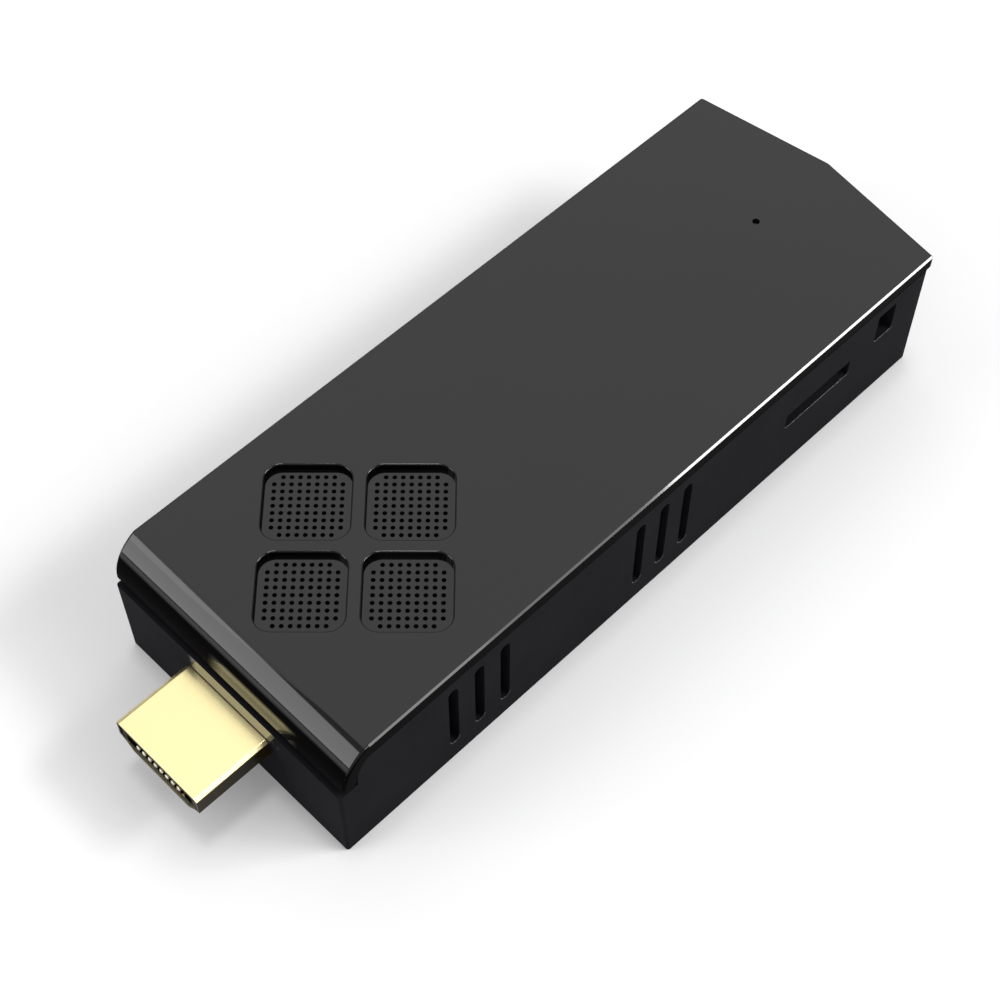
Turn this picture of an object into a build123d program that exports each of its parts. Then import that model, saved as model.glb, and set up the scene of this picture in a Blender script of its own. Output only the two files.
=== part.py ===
from build123d import *

import os
from math import hypot, radians, sqrt, tan

# A stick computer with an HDMI plug at its front end. All lengths are in millimetres.
# X runs from the plug to the rear end, the side with the air slots faces -Y, and Z is up.
# The origin lies under the middle of the whole stick, on the surface that it rests on.
# A name ending in from_front is a distance behind the case's front wall, and one ending in from_rear
# a distance ahead of its two rear corners.

os.makedirs("parts", exist_ok=True)

# Case, as seen from outside
shell_length = 99.8  # from the front wall to the two rear corners
peak_rise = 2.8  # how far the middle of the rear wall stands out past its corners
shell_width = 38.2
shell_height = 20.4
wall = 1.8
floor_thickness = 1.6
corner_radius = 0.4
base_edge_radius = 0.3

# Cover, with its front end rolled down
cover_thickness = 1.8
cover_overhang = 0.25  # past the tub's side and rear walls
cover_setback = 0.45  # from the front wall's face back to the rolled lip
cover_edge_radius = 0.35
roll_radius = 6.5
crease_radius = 1.0
lip_drop = 5.8  # from the top down to where the lip ends
part_gap = 0.9  # shadow gap between the cover and the side walls
roll_gap = 0.4  # the same gap under the rolled end
lip_gap = 1.0  # between the lip and the front wall
skirt_clearance = 0.15
skirt_thickness = 1.0
skirt_depth = 1.5  # below the side wall's upper edge
front_skirt_depth = 1.2  # below the front wall's upper edge
front_skirt_length = 7.0

# Vents in the cover: recessed square pads set at 45 degrees, with rows of round holes
vent_from_front = 20.5
pad_spacing = 11.85
pad_size = 10.15
pad_corner_radius = 2.0
pad_depth = 0.9
pad_edge_radius = 0.22
vent_hole_pitch = 0.987
vent_hole_radius = 0.28
vent_rows = 9

# Air slots, card slot and strap hole in the -Y side
slot_width = 1.5
slot_floor_gap = 2.2  # from the floor up to the air slots
slot_top_gap = 1.7  # from the air slots up to the wall's upper edge
slot_pitch = 4.05
slots_per_group = 3
slot_groups_from_front = (21.0, 51.4)
card_slot_from_rear = 19.85
card_slot_width = 12.1
card_slot_height = 2.6
card_slot_rise = 1.65  # of its middle above the board
card_slot_radius = 0.3
strap_from_rear = 7.4
strap_hole_width = 3.4
strap_board_gap = 2.5  # from the board up to the strap hole
strap_top_gap = 1.5  # from the strap hole up to the wall's upper edge
strap_hole_radius = 0.4
strap_depth = 3.9  # how far the strap's pocket reaches in from the side wall
strap_wall = 1.0

# Case screws, from below through the tub, the board and into the cover's bosses
front_screw_from_front = 5.6
front_screw_inset = 2.5  # from the side wall's inner face
rear_screw_from_rear = 5.0
rear_screw_inset = 7.8
post_radius = 3.0
boss_radius = 2.3
screw_radius = 1.0
screw_clearance = 0.05
screw_hole_clearance = 0.2
screw_head_radius = 1.8
screw_head_height = 1.2
screw_head_recess = 0.4
screw_head_clearance = 0.2
screw_bite = 6.5  # length held in the cover's boss
screw_recess_radius = 0.8
screw_recess_depth = 0.6

# HDMI plug
plug_reach = 10.4
plug_width = 13.9
plug_height = 4.45
plug_center_share = 0.603  # of the front wall's height
plug_side = 2.9  # upright part of the plug's sides
plug_ledge = 0.85
plug_ledge_drop = 0.3
plug_base_width = 9.6
plug_corner_radius = 0.5
plug_sheet = 0.3
plug_clearance = 0.12
mouth_recess = 0.15
mouth_width = 11.2
mouth_depth = 7.6
plug_row_pitch = 1.0
plug_upper_contacts = 10
plug_lower_contacts = 9
plug_contact_width = 0.35
plug_contact_thickness = 0.2
plug_upper_setback = 0.8
plug_tail = 2.6
plug_tab_height = 1.2
plug_tab_length = 4.2

# Board
board_thickness = 1.2
board_clearance = 0.5
board_gap = 0.2  # between the plug's rear face and the board
board_corner_radius = 1.0

# Processor and its cooler
processor_from_front = 48.9
processor_size = 17.0
processor_thickness = 0.9
die_size = 9.0
die_thickness = 0.3
pad_sheet_size = 12.0
pad_sheet_thickness = 0.5
sink_length = 24.0
sink_slot_gap = 1.8  # from the wall with the air slots
sink_port_gap = 7.8  # from the wall with the sockets
sink_base = 1.5
sink_top_gap = 2.0  # below the cover
fin_thickness = 0.8
fin_count = 9
standoff_radius = 1.7
standoff_gap = 0.1  # beside the processor
standoff_inset = 2.0  # from the heat sink's side edges
sink_screw_radius = 0.8
sink_screw_clearance = 0.1
sink_screw_head_radius = 1.5
sink_screw_head_height = 1.0
sink_screw_pocket_radius = 2.2

# Chips and small electronics
memory_size = (8.0, 11.0, 1.0)
memory_spread = (13.0, 13.6)
memory_from_front = 20.5
storage_size = (11.5, 13.0, 1.0)
storage_from_rear = 32.9
storage_inset = 8.3  # from the board's edge on the slot side
power_chip_size = (7.0, 7.0, 0.9)
power_chip_from_front = 44.0
power_y = 4.0  # middle of the power chip, the inductors and their shield
inductor_size = (4.0, 4.0, 2.0)
inductor_spread = (6.0, 5.5)
inductor_from_front = 55.0
inductor_edge_radius = 0.4
chip_chamfer = 0.12
power_shield_size = (24.0, 15.0, 2.8)
power_shield_from_front = 49.5
power_shield_sheet = 0.2
power_shield_hole_radius = 0.6
power_shield_hole_pitch = (4.0, 4.0)
power_shield_holes = (5, 2)
firmware_chip_size = (5.0, 6.0, 0.9)
firmware_chip_from_front = 30.0
firmware_chip_y = -8.0
crystal_size = (3.2, 2.5, 0.8)
crystal_from_front = 36.5
crystal_y = -8.0
capacitor_radius = 2.0
capacitor_floor_gap = 1.8  # above the tub's floor
capacitor_from_rear = 31.8
capacitor_inset = 5.8  # from the board's edge on the slot side
capacitor_pitch = 6.0
capacitor_count = 3
capacitor_edge_radius = 0.4
led_size = (1.6, 0.8, 0.6)

# Wireless module, its antenna and the lead between them
wifi_from_rear = 14.8
wifi_y = -6.0
wifi_size = (12.0, 12.0, 0.6)
wifi_shield_size = (11.0, 9.4, 1.2)
wifi_shield_shift = 1.0
wifi_shield_sheet = 0.2
wifi_connector_radius = 1.0
wifi_connector_height = 0.8
wifi_connector_setback = 1.0  # from the module's edge to the connector's middle
lead_cap_radius = 1.15
lead_run = 5.0
antenna_size = (30.0, 6.5, 0.5)
antenna_from_rear = 25.8
antenna_y = 9.0
lead_radius = 0.4
lead_corner_share = 0.45

# Fan under the vents
fan_size = 25.0
fan_board_gap = 2.6  # between the board and the fan
fan_seat = 1.2
fan_corner_radius = 1.5
fan_bore_radius = 11.7
fan_hole_spread = 20.0
fan_hole_radius = 1.0
motor_plate_radius = 6.0
motor_plate_thickness = 0.8
strut_width = 1.8
strut_count = 3
tube_radius = 2.0
bearing_radius = 1.2
shaft_radius = 0.5
shaft_fit = 0.03
shaft_seat = 0.1
tube_top_gap = 0.4
hub_radius = 6.2
hub_wall = 0.7
hub_top = 0.8
hub_top_gap = 0.6
hub_bottom_gap = 0.4
blade_tip_gap = 0.5
blade_thickness = 0.5
blade_count = 7
blade_end_gap = 0.4  # from the hub's two ends to the blades
blade_sweep = 2.4
blade_root = 0.3  # how deep a blade's root sits in the hub's wall
magnet_thickness = 0.8
magnet_rise = 0.8  # of its lower edge above the hub's
stator_gap = 0.3
stator_end_gap = 0.7  # below and above it
stator_poles = 4
stator_pole_width = 1.2
stator_shoe = 0.6
coil_thickness = 0.5
coil_length = 1.0
motor_board_thickness = 0.4
motor_board_radius = 5.2
fan_screw_radius = 0.8
fan_screw_head_radius = 1.5
fan_screw_head_height = 0.9
fan_screw_tip_cover = 1.0  # cover left above the screw's tip
fan_boss_radius = 1.9
connector_size = (3.0, 4.0, 2.6)
connector_gap = 2.3  # from the fan to the connector's middle
connector_y = 10.4
fan_lead_radius = 0.4
fan_lead_rise = 2.6  # above the fan's lower face

# USB type A sockets in the +Y side
usb_from_rear = {"usb2": 30.8, "usb3": 14.6}
usb_width = 13.1
usb_height = 5.72
usb_depth = 14.0
usb_sheet = 0.3
usb_recess = 0.3
usb_clearance = 0.15
usb_leg = (1.2, 0.3, 1.6)
usb_leg_clearance = 0.15
usb_leg_setback = 5.0
usb_leg_pitch = 6.0
usb_core_depth = 5.2
usb_tongue_width = 11.1
usb_tongue_thickness = 1.84
usb_tongue_drop = 0.7
usb_tongue_setback = 0.8
usb_contact_thickness = 0.2
usb_contact_width = 1.0
usb_contact_setback = 0.8
usb_contact_places = (-3.5, -1.0, 1.0, 3.5)
usb3_contact_length = 1.6
usb3_contact_width = 0.7
usb3_contact_pitch = 2.0
usb3_contact_count = 5
usb3_contact_gap = 0.5

# Micro USB socket in the +Y side, for power
micro_from_rear = 46.8
micro_width = 7.5
micro_height = 2.6
micro_base_width = 5.6
micro_bevel_share = 0.45  # of its height
micro_depth = 5.2
micro_sheet = 0.25
micro_recess = 0.25
micro_clearance = 0.15
micro_core_depth = 1.4
micro_tongue = (3.7, 0.6)
micro_tongue_height = 1.45
micro_tongue_setback = 0.6
micro_contact_width = 0.3
micro_contact_thickness = 0.1
micro_contact_pitch = 0.65
micro_contact_count = 5

# Card socket behind the card slot
socket_width = 14.0
socket_length = 14.2
socket_height = 1.9
socket_gap = 0.2
socket_floor = 0.5
socket_rail = 1.0
socket_rear = 1.2
socket_sheet = 0.2
socket_window = (7.0, 4.0)
card_width = 11.1
card_contact_count = 8
card_contact_pitch = 1.1
card_contact_size = (0.6, 6.0, 0.15)
slider_size = (1.2, 4.0, 0.9)
slider_hook = 0.7
slider_rest = 4.6  # behind the socket's front
slider_gap = 0.12
spring_radius = 0.36
spring_wire_radius = 0.08
spring_turns = 8

# Power button in the +Y side and the switch behind it
button_from_rear = 59.8
button_width = 7.0
button_height = 2.6
button_rise = 1.8  # of its middle above the board
button_proud = 0.2
button_clearance = 0.12
button_edge_radius = 0.2
button_flange = (8.6, 3.2, 0.7)
button_flange_gap = 0.08
button_travel = 0.3
plunger_size = (2.4, 1.2)
plunger_reach = 0.9
plunger_depth = 0.8
plunger_clearance = 0.08
switch_size = (6.0, 3.4, 3.2)
button_stem = 0.3

# Status light
light_from_rear = 11.15
light_hole_radius = 0.48
light_pipe_radius = 0.95
light_pipe_tip_radius = 0.42
light_pipe_gap = 0.3
light_pipe_recess = 0.8

overrun = 1.0  # how far a cut runs past what it cuts

# Places that follow from the sizes above
half_width = shell_width / 2
rear_slant = hypot(half_width, peak_rise) / half_width
front_x = (plug_reach - shell_length - peak_rise - cover_overhang * rear_slant) / 2
rear_x = front_x + shell_length
underside = shell_height - cover_thickness
wall_top = underside - part_gap
lip_height = shell_height - lip_drop
front_top = lip_height - lip_gap
inner_half_width = half_width - wall
roll_x = front_x + cover_setback + roll_radius
crease_x = roll_x - sqrt(roll_radius**2 - (shell_height - lip_height) ** 2)
plug_center_height = plug_center_share * front_top
board_bottom = plug_center_height - board_thickness / 2
board_top = board_bottom + board_thickness
board_front = front_x + wall + board_clearance
board_rear = rear_x - wall - board_clearance
board_half_width = inner_half_width - board_clearance
front_screw_x = front_x + front_screw_from_front
rear_screw_x = rear_x - rear_screw_from_rear
front_screw_y = inner_half_width - front_screw_inset
rear_screw_y = inner_half_width - rear_screw_inset
screw_places = [
    (front_screw_x, front_screw_y),
    (front_screw_x, -front_screw_y),
    (rear_screw_x, rear_screw_y),
    (rear_screw_x, -rear_screw_y),
]
screw_tip = board_top + screw_bite
card_x = rear_x - card_slot_from_rear
strap_x = rear_x - strap_from_rear
light_x = rear_x - light_from_rear
slot_bottom = floor_thickness + slot_floor_gap
slot_height = wall_top - slot_top_gap - slot_bottom
slot_center_height = slot_bottom + slot_height / 2
card_slot_center_height = board_top + card_slot_rise
strap_hole_bottom = board_top + strap_board_gap
strap_hole_height = wall_top - strap_top_gap - strap_hole_bottom
strap_hole_center_height = strap_hole_bottom + strap_hole_height / 2
button_center_height = board_top + button_rise


def case_points(inset):
    """Corners of the case's outline seen from above, moved inwards by inset, or outwards if negative."""
    side = half_width - inset
    peak = rear_x + peak_rise - inset * rear_slant
    corner = peak - peak_rise * side / half_width
    front = front_x + inset
    return [(front, -side), (corner, -side), (peak, 0), (corner, side), (front, side)]


def plug_face(grow):
    """Fill the plug's outline seen from the front, grown by so much all round, in the open sketch."""
    half_plug = plug_width / 2
    upper = plug_height / 2
    ledge = upper - plug_side
    right_side = [
        (half_plug, upper),
        (half_plug, ledge),
        (half_plug - plug_ledge, ledge - plug_ledge_drop),
        (plug_base_width / 2, -upper),
    ]
    left_side = [(-y, z) for y, z in reversed(right_side)]
    with Locations((0, plug_center_height)):
        outline = Polygon(*right_side, *left_side, align=None)
    fillet(outline.vertices().sort_by(Axis.Y)[-2:], plug_corner_radius)
    if grow:
        offset(amount=grow, kind=Kind.INTERSECTION)


def micro_face(grow):
    """Add the power socket's outline seen from the side, grown by so much, to the open sketch."""
    half_socket = micro_width / 2 + grow
    half_base = micro_base_width / 2 + grow
    bevel_top = board_top + micro_height * micro_bevel_share
    right_side = [
        (micro_x + half_socket, board_top + micro_height + grow),
        (micro_x + half_socket, bevel_top),
        (micro_x + half_base, board_top - grow),
    ]
    left_side = [(2 * micro_x - x, z) for x, z in reversed(right_side)]
    Polygon(*right_side, *left_side, align=None)


def lead_radii(points):
    """Radius for each corner of a lead's route, as large as the shorter of its two runs allows."""
    runs = [Vector(b) - Vector(a) for a, b in zip(points, points[1:])]
    radii = []
    for one, two in zip(runs, runs[1:]):
        half_turn = radians(one.get_angle(two)) / 2
        radii.append(lead_corner_share * min(one.length, two.length) / tan(half_turn))
    return radii


# Seen from the side: the face of the -Y wall, and the face of the +Y wall.
slot_face = Plane.XZ.offset(half_width)
port_face = Plane.XZ.offset(-half_width)

usb_center_height = board_top + usb_height / 2
usb_places = {name: rear_x - place for name, place in usb_from_rear.items()}
button_x = rear_x - button_from_rear
micro_x = rear_x - micro_from_rear

# Tub: floor, walls, screw posts and the strap's pocket in its rear corner
with BuildPart() as bottom_housing:
    with BuildSketch():
        Polygon(*case_points(0), align=None)
    extrude(amount=wall_top)
    fillet(bottom_housing.edges().filter_by(Axis.Z), corner_radius)
    fillet(bottom_housing.faces().sort_by(Axis.Z)[0].edges(), base_edge_radius)
    with BuildSketch(Plane.XY.offset(floor_thickness)):
        Polygon(*case_points(wall), align=None)
    extrude(amount=wall_top, mode=Mode.SUBTRACT)
    with BuildSketch(Plane.XY.offset(floor_thickness / 2)):
        with Locations(*screw_places):
            Circle(post_radius)
    extrude(amount=board_bottom - floor_thickness / 2)
    with BuildSketch(Plane.XY.offset(strap_hole_center_height - strap_hole_height / 2 - strap_wall)):
        Polygon(*case_points(wall / 2), align=None)
        with Locations((strap_x - strap_hole_width / 2 - strap_wall, -half_width)):
            Rectangle(
                shell_length,
                wall + strap_depth + strap_wall,
                align=(Align.MIN, Align.MIN),
                mode=Mode.INTERSECT,
            )
    extrude(amount=strap_hole_height + 2 * strap_wall)
    with BuildSketch(Plane.XY.offset(strap_hole_center_height - strap_hole_height / 2)):
        Polygon(*case_points(wall), align=None)
        with Locations((strap_x - strap_hole_width / 2, -inner_half_width)):
            Rectangle(shell_length, strap_depth, align=(Align.MIN, Align.MIN), mode=Mode.INTERSECT)
    extrude(amount=strap_hole_height, mode=Mode.SUBTRACT)
    # The front wall stands lower, under the cover's rolled end
    notch_radius = roll_radius - cover_thickness - roll_gap
    notch_x = roll_x - sqrt(notch_radius**2 - (wall_top - lip_height) ** 2)
    with BuildSketch(Plane.XZ):
        with BuildLine():
            notch_arc = RadiusArc((roll_x - notch_radius, lip_height), (notch_x, wall_top), notch_radius)
            Polyline(
                notch_arc @ 1,
                (notch_x, shell_height),
                (front_x - overrun, shell_height),
                (front_x - overrun, front_top),
                (roll_x - notch_radius, front_top),
                notch_arc @ 0,
            )
        make_face()
    extrude(amount=shell_width, both=True, mode=Mode.SUBTRACT)
    # Opening for the plug
    with BuildSketch(Plane.YZ.offset(front_x - overrun)):
        plug_face(plug_clearance)
    extrude(amount=wall + 2 * overrun, mode=Mode.SUBTRACT)
    # Air slots, card slot and strap hole
    with BuildSketch(slot_face):
        with Locations(*[(front_x + group, slot_center_height) for group in slot_groups_from_front]):
            with GridLocations(slot_pitch, slot_pitch, slots_per_group, 1):
                SlotOverall(slot_height, slot_width, rotation=90)
        with Locations((card_x, card_slot_center_height)):
            RectangleRounded(card_slot_width, card_slot_height, card_slot_radius)
        with Locations((strap_x, strap_hole_center_height)):
            RectangleRounded(strap_hole_width, strap_hole_height, strap_hole_radius)
    extrude(amount=-(wall + overrun), mode=Mode.SUBTRACT)
    with BuildSketch(Plane.YZ.offset(rear_x - 2 * wall)):
        with Locations((-inner_half_width + strap_depth / 2, strap_hole_center_height)):
            RectangleRounded(strap_hole_width, strap_hole_height, strap_hole_radius)
    extrude(amount=2 * wall + peak_rise, mode=Mode.SUBTRACT)
    # Openings for the two USB sockets, the power socket and the button
    with BuildSketch(port_face):
        with Locations(*[(x, usb_center_height) for x in usb_places.values()]):
            Rectangle(usb_width + 2 * usb_clearance, usb_height + 2 * usb_clearance)
        micro_face(micro_clearance)
        with Locations((button_x, button_center_height)):
            SlotOverall(button_width + 2 * button_clearance, button_height + 2 * button_clearance)
    extrude(amount=wall + overrun, mode=Mode.SUBTRACT)
    # Screw holes with recesses for the heads
    with BuildSketch():
        with Locations(*screw_places):
            Circle(screw_radius + screw_hole_clearance)
    extrude(amount=board_bottom, mode=Mode.SUBTRACT)
    with BuildSketch():
        with Locations(*screw_places):
            Circle(screw_head_radius + screw_head_clearance)
    extrude(amount=screw_head_recess + screw_head_height, mode=Mode.SUBTRACT)
bottom_housing.part.label = "bottom_housing"
export_step(bottom_housing.part, "parts/bottom_housing.step")

# What hangs below the cover: its locating skirt and bosses, up to the middle of its thickness
fan_x = front_x + vent_from_front
fan_top = underside - fan_seat
fan_bottom = board_top + fan_board_gap
fan_thickness = fan_top - fan_bottom
fan_corners = [
    (fan_x + i * fan_hole_spread / 2, j * fan_hole_spread / 2) for i in (-1, 1) for j in (-1, 1)
]
skirt_face = wall + skirt_clearance
middle_radius = roll_radius - cover_thickness / 2
middle_height = shell_height - cover_thickness / 2
middle_crease_x = roll_x - sqrt(middle_radius**2 - (middle_height - lip_height) ** 2)
skirt_bottom = front_top - front_skirt_depth
with BuildPart() as cover_underside:
    with BuildSketch(Plane.XY.offset(skirt_bottom)):
        Polygon(*case_points(skirt_face), align=None)
        Polygon(*case_points(skirt_face + skirt_thickness), align=None, mode=Mode.SUBTRACT)
    extrude(amount=shell_height - skirt_bottom)
    with BuildSketch(Plane.XY.offset(skirt_bottom)):
        with Locations((front_x + wall + front_skirt_length, 0)):
            Rectangle(shell_length, shell_width, align=(Align.MIN, Align.CENTER))
    extrude(amount=wall_top - skirt_depth - skirt_bottom, mode=Mode.SUBTRACT)
    # Room for the strap's pocket
    with BuildSketch(Plane.XY.offset(skirt_bottom)):
        with Locations((strap_x - strap_hole_width / 2 - strap_wall - skirt_clearance, -half_width)):
            Rectangle(shell_length, half_width - strap_depth, align=(Align.MIN, Align.MIN))
    extrude(
        amount=strap_hole_center_height + strap_hole_height / 2 + strap_wall + skirt_clearance - skirt_bottom,
        mode=Mode.SUBTRACT,
    )
    with BuildSketch(Plane.XY.offset(board_top)):
        with Locations(*screw_places):
            Circle(boss_radius)
    extrude(amount=shell_height - board_top)
    with BuildSketch(Plane.XY.offset(fan_top)):
        with Locations(*fan_corners):
            Circle(fan_boss_radius)
    extrude(amount=shell_height - fan_top)
    with BuildSketch(Plane.XZ):
        with BuildLine():
            middle_arc = RadiusArc(
                (roll_x - middle_radius, lip_height), (middle_crease_x, middle_height), middle_radius
            )
            Polyline(
                middle_arc @ 1,
                (rear_x + peak_rise, middle_height),
                (rear_x + peak_rise, 0),
                (roll_x - middle_radius, 0),
                middle_arc @ 0,
            )
        make_face()
    extrude(amount=shell_width, both=True, mode=Mode.INTERSECT)

# Cover: a plate with its front end rolled down and its rear end pointed like the tub
inner_roll_radius = roll_radius - cover_thickness
inner_crease_x = roll_x - sqrt(inner_roll_radius**2 - (underside - lip_height) ** 2)
cover_rear = rear_x + peak_rise + cover_overhang + overrun
vent_plane = Plane(origin=(fan_x, 0, shell_height), x_dir=(1, -1, 0), z_dir=(0, 0, 1))
vent_reach = (vent_rows - 1) / 2
vent_steps = [i - vent_reach for i in range(vent_rows)]
vent_hole_places = [
    (i * vent_hole_pitch, j * vent_hole_pitch)
    for i in vent_steps
    for j in vent_steps
    if abs(i) + abs(j) < 2 * vent_reach
]
with BuildPart() as top_cover:
    with BuildSketch(Plane.XZ) as cover_profile:
        with BuildLine():
            roll_arc = RadiusArc((roll_x - roll_radius, lip_height), (crease_x, shell_height), roll_radius)
            Line(roll_arc @ 1, (cover_rear, shell_height))
            Line((cover_rear, shell_height), (cover_rear, underside))
            Line((cover_rear, underside), (inner_crease_x, underside))
            inner_arc = RadiusArc(
                (inner_crease_x, underside), (roll_x - inner_roll_radius, lip_height), -inner_roll_radius
            )
            Line(inner_arc @ 1, roll_arc @ 0)
        make_face()
        crease = cover_profile.vertices().sort_by_distance((crease_x, 0, shell_height))[0]
        fillet(crease, crease_radius)
    extrude(amount=shell_width, both=True)
    with BuildSketch():
        Polygon(*case_points(-cover_overhang), align=None)
    extrude(amount=shell_height + overrun, mode=Mode.INTERSECT)
    fillet(top_cover.edges().filter_by(Axis.Z), corner_radius)
    # Soften the outer edge of the top and of the rolled end
    half_cover = half_width + cover_overhang
    rim = top_cover.edges().filter_by(
        lambda edge: abs(edge.center().Z - shell_height) < crease_radius / 4
        and edge.center().X > crease_x - crease_radius
        and (abs(edge.center().Y) > half_cover / 2 or edge.center().X > front_x + shell_length / 2)
        or abs(hypot(edge.center().X - roll_x, edge.center().Z - lip_height) - roll_radius) < crease_radius / 4
        and abs(edge.center().Y) > half_cover / 2
    )
    fillet(rim, cover_edge_radius)
    # Recessed vent pads with their rows of holes
    with BuildSketch(vent_plane):
        with GridLocations(pad_spacing, pad_spacing, 2, 2):
            RectangleRounded(pad_size, pad_size, pad_corner_radius)
    extrude(amount=-pad_depth, mode=Mode.SUBTRACT)
    pad_rims = (
        top_cover.edges()
        .filter_by_position(Axis.Z, shell_height, shell_height)
        .filter_by(lambda edge: edge.length < pad_size)
        .filter_by(lambda edge: hypot(edge.center().X - fan_x, edge.center().Y) < pad_spacing + pad_size / 2)
    )
    fillet(pad_rims, pad_edge_radius)
    with BuildSketch(vent_plane):
        with GridLocations(pad_spacing, pad_spacing, 2, 2):
            with Locations(*vent_hole_places):
                Circle(vent_hole_radius)
    extrude(amount=-cover_thickness, mode=Mode.SUBTRACT)
    add(cover_underside.part)
    # Hole for the status light, and blind holes for the screws
    with BuildSketch(Plane.XY.offset(underside)):
        with Locations((light_x, 0)):
            Circle(light_hole_radius)
    extrude(amount=cover_thickness, mode=Mode.SUBTRACT)
    with BuildSketch(Plane.XY.offset(board_top)):
        with Locations(*screw_places):
            Circle(screw_radius + screw_clearance)
    extrude(amount=screw_bite + screw_hole_clearance, mode=Mode.SUBTRACT)
    with BuildSketch(Plane.XY.offset(fan_top)):
        with Locations(*fan_corners):
            Circle(fan_screw_radius + screw_clearance)
    extrude(amount=shell_height - fan_screw_tip_cover + screw_clearance - fan_top, mode=Mode.SUBTRACT)
top_cover.part.label = "top_cover"
export_step(top_cover.part, "parts/top_cover.step")

# Plug: a gilt sheet shell with two tabs that stand on the board
plug_front = front_x - plug_reach
plug_rear = board_front - board_gap
with BuildPart() as hdmi_shell:
    with BuildSketch(Plane.YZ.offset(plug_front)):
        plug_face(0)
    extrude(amount=plug_rear - plug_front)
    with BuildSketch(Plane.YZ.offset(plug_front)):
        plug_face(-plug_sheet)
    extrude(amount=plug_rear - plug_front, mode=Mode.SUBTRACT)
    with BuildSketch(Plane.XY.offset(board_top)):
        with Locations((plug_rear - plug_sheet, 0)):
            with GridLocations(plug_width - plug_sheet, plug_width - plug_sheet, 1, 2):
                Rectangle(plug_tab_length, plug_sheet, align=(Align.MIN, Align.CENTER))
    extrude(amount=plug_tab_height)
hdmi_shell.part.label = "hdmi_shell"
export_step(hdmi_shell.part, "parts/hdmi_shell.step")

# Plug contacts: the upper row ends on the board's top, the lower row on its underside
mouth_front = plug_front + mouth_recess
upper_front = mouth_front + plug_upper_setback
with BuildPart() as hdmi_contacts:
    with BuildSketch(Plane.XY.offset(board_top)):
        with Locations((upper_front, 0)):
            with GridLocations(plug_row_pitch, plug_row_pitch, 1, plug_upper_contacts):
                Rectangle(
                    board_front + plug_tail - upper_front,
                    plug_contact_width,
                    align=(Align.MIN, Align.CENTER),
                )
    extrude(amount=plug_contact_thickness)
    with BuildSketch(Plane.XY.offset(board_bottom)):
        with Locations((mouth_front, 0)):
            with GridLocations(plug_row_pitch, plug_row_pitch, 1, plug_lower_contacts):
                Rectangle(
                    board_front + plug_tail - mouth_front,
                    plug_contact_width,
                    align=(Align.MIN, Align.CENTER),
                )
    extrude(amount=-plug_contact_thickness)
hdmi_contacts.part.label = "hdmi_contacts"
export_step(hdmi_contacts.part, "parts/hdmi_contacts.step")

# Plug core, with the mouth that the screen's socket reaches into
with BuildPart() as hdmi_insulator:
    with BuildSketch(Plane.YZ.offset(mouth_front)):
        plug_face(-plug_sheet)
    extrude(amount=plug_rear - mouth_front)
    with BuildSketch(Plane.YZ.offset(mouth_front)):
        with Locations((0, plug_center_height)):
            Rectangle(mouth_width, board_thickness + 2 * plug_contact_thickness)
    extrude(amount=mouth_depth, mode=Mode.SUBTRACT)
    add(hdmi_contacts.part, mode=Mode.SUBTRACT)
hdmi_insulator.part.label = "hdmi_insulator"
export_step(hdmi_insulator.part, "parts/hdmi_insulator.step")

# Board, with holes for the case screws and slots for the legs of the USB sockets
usb_front = half_width - usb_recess
usb_leg_places = {
    name: [
        (x + side * (usb_width - usb_sheet) / 2, usb_front - usb_leg_setback - row * usb_leg_pitch)
        for side in (-1, 1)
        for row in (0, 1)
    ]
    for name, x in usb_places.items()
}
with BuildPart() as mainboard:
    with BuildSketch(Plane.XY.offset(board_bottom)) as board_outline:
        with Locations((board_front, 0)):
            Rectangle(board_rear - board_front, 2 * board_half_width, align=(Align.MIN, Align.CENTER))
        fillet(board_outline.vertices(), board_corner_radius)
        with Locations(*screw_places):
            Circle(screw_radius + screw_hole_clearance, mode=Mode.SUBTRACT)
        with Locations(*[place for places in usb_leg_places.values() for place in places]):
            Rectangle(
                usb_leg[1] + 2 * usb_leg_clearance,
                usb_leg[0] + 2 * usb_leg_clearance,
                mode=Mode.SUBTRACT,
            )
    extrude(amount=board_thickness)
mainboard.part.label = "mainboard"
export_step(mainboard.part, "parts/mainboard.step")

# Processor with its bare die, the soft pad on it, and the finned cooler
sink_width = 2 * inner_half_width - sink_slot_gap - sink_port_gap
processor_place = (front_x + processor_from_front, (sink_slot_gap - sink_port_gap) / 2)
die_bottom = board_top + processor_thickness
pad_bottom = die_bottom + die_thickness
sink_bottom = pad_bottom + pad_sheet_thickness
sink_height = underside - sink_top_gap - sink_bottom
standoff_x = processor_size / 2 + standoff_gap + standoff_radius
standoff_y = sink_width / 2 - standoff_inset
standoff_places = [
    (processor_place[0] - standoff_x, processor_place[1] + standoff_y),
    (processor_place[0] + standoff_x, processor_place[1] - standoff_y),
]
with BuildPart() as processor:
    with BuildSketch(Plane.XY.offset(board_top)):
        with Locations(processor_place):
            Rectangle(processor_size, processor_size)
    extrude(amount=processor_thickness)
    with BuildSketch(Plane.XY.offset(die_bottom)):
        with Locations(processor_place):
            Rectangle(die_size, die_size)
    extrude(amount=die_thickness)
processor.part.label = "processor"
export_step(processor.part, "parts/processor.step")

with BuildPart() as thermal_pad:
    with BuildSketch(Plane.XY.offset(pad_bottom)):
        with Locations(processor_place):
            Rectangle(pad_sheet_size, pad_sheet_size)
    extrude(amount=pad_sheet_thickness)
thermal_pad.part.label = "thermal_pad"
export_step(thermal_pad.part, "parts/thermal_pad.step")

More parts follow.
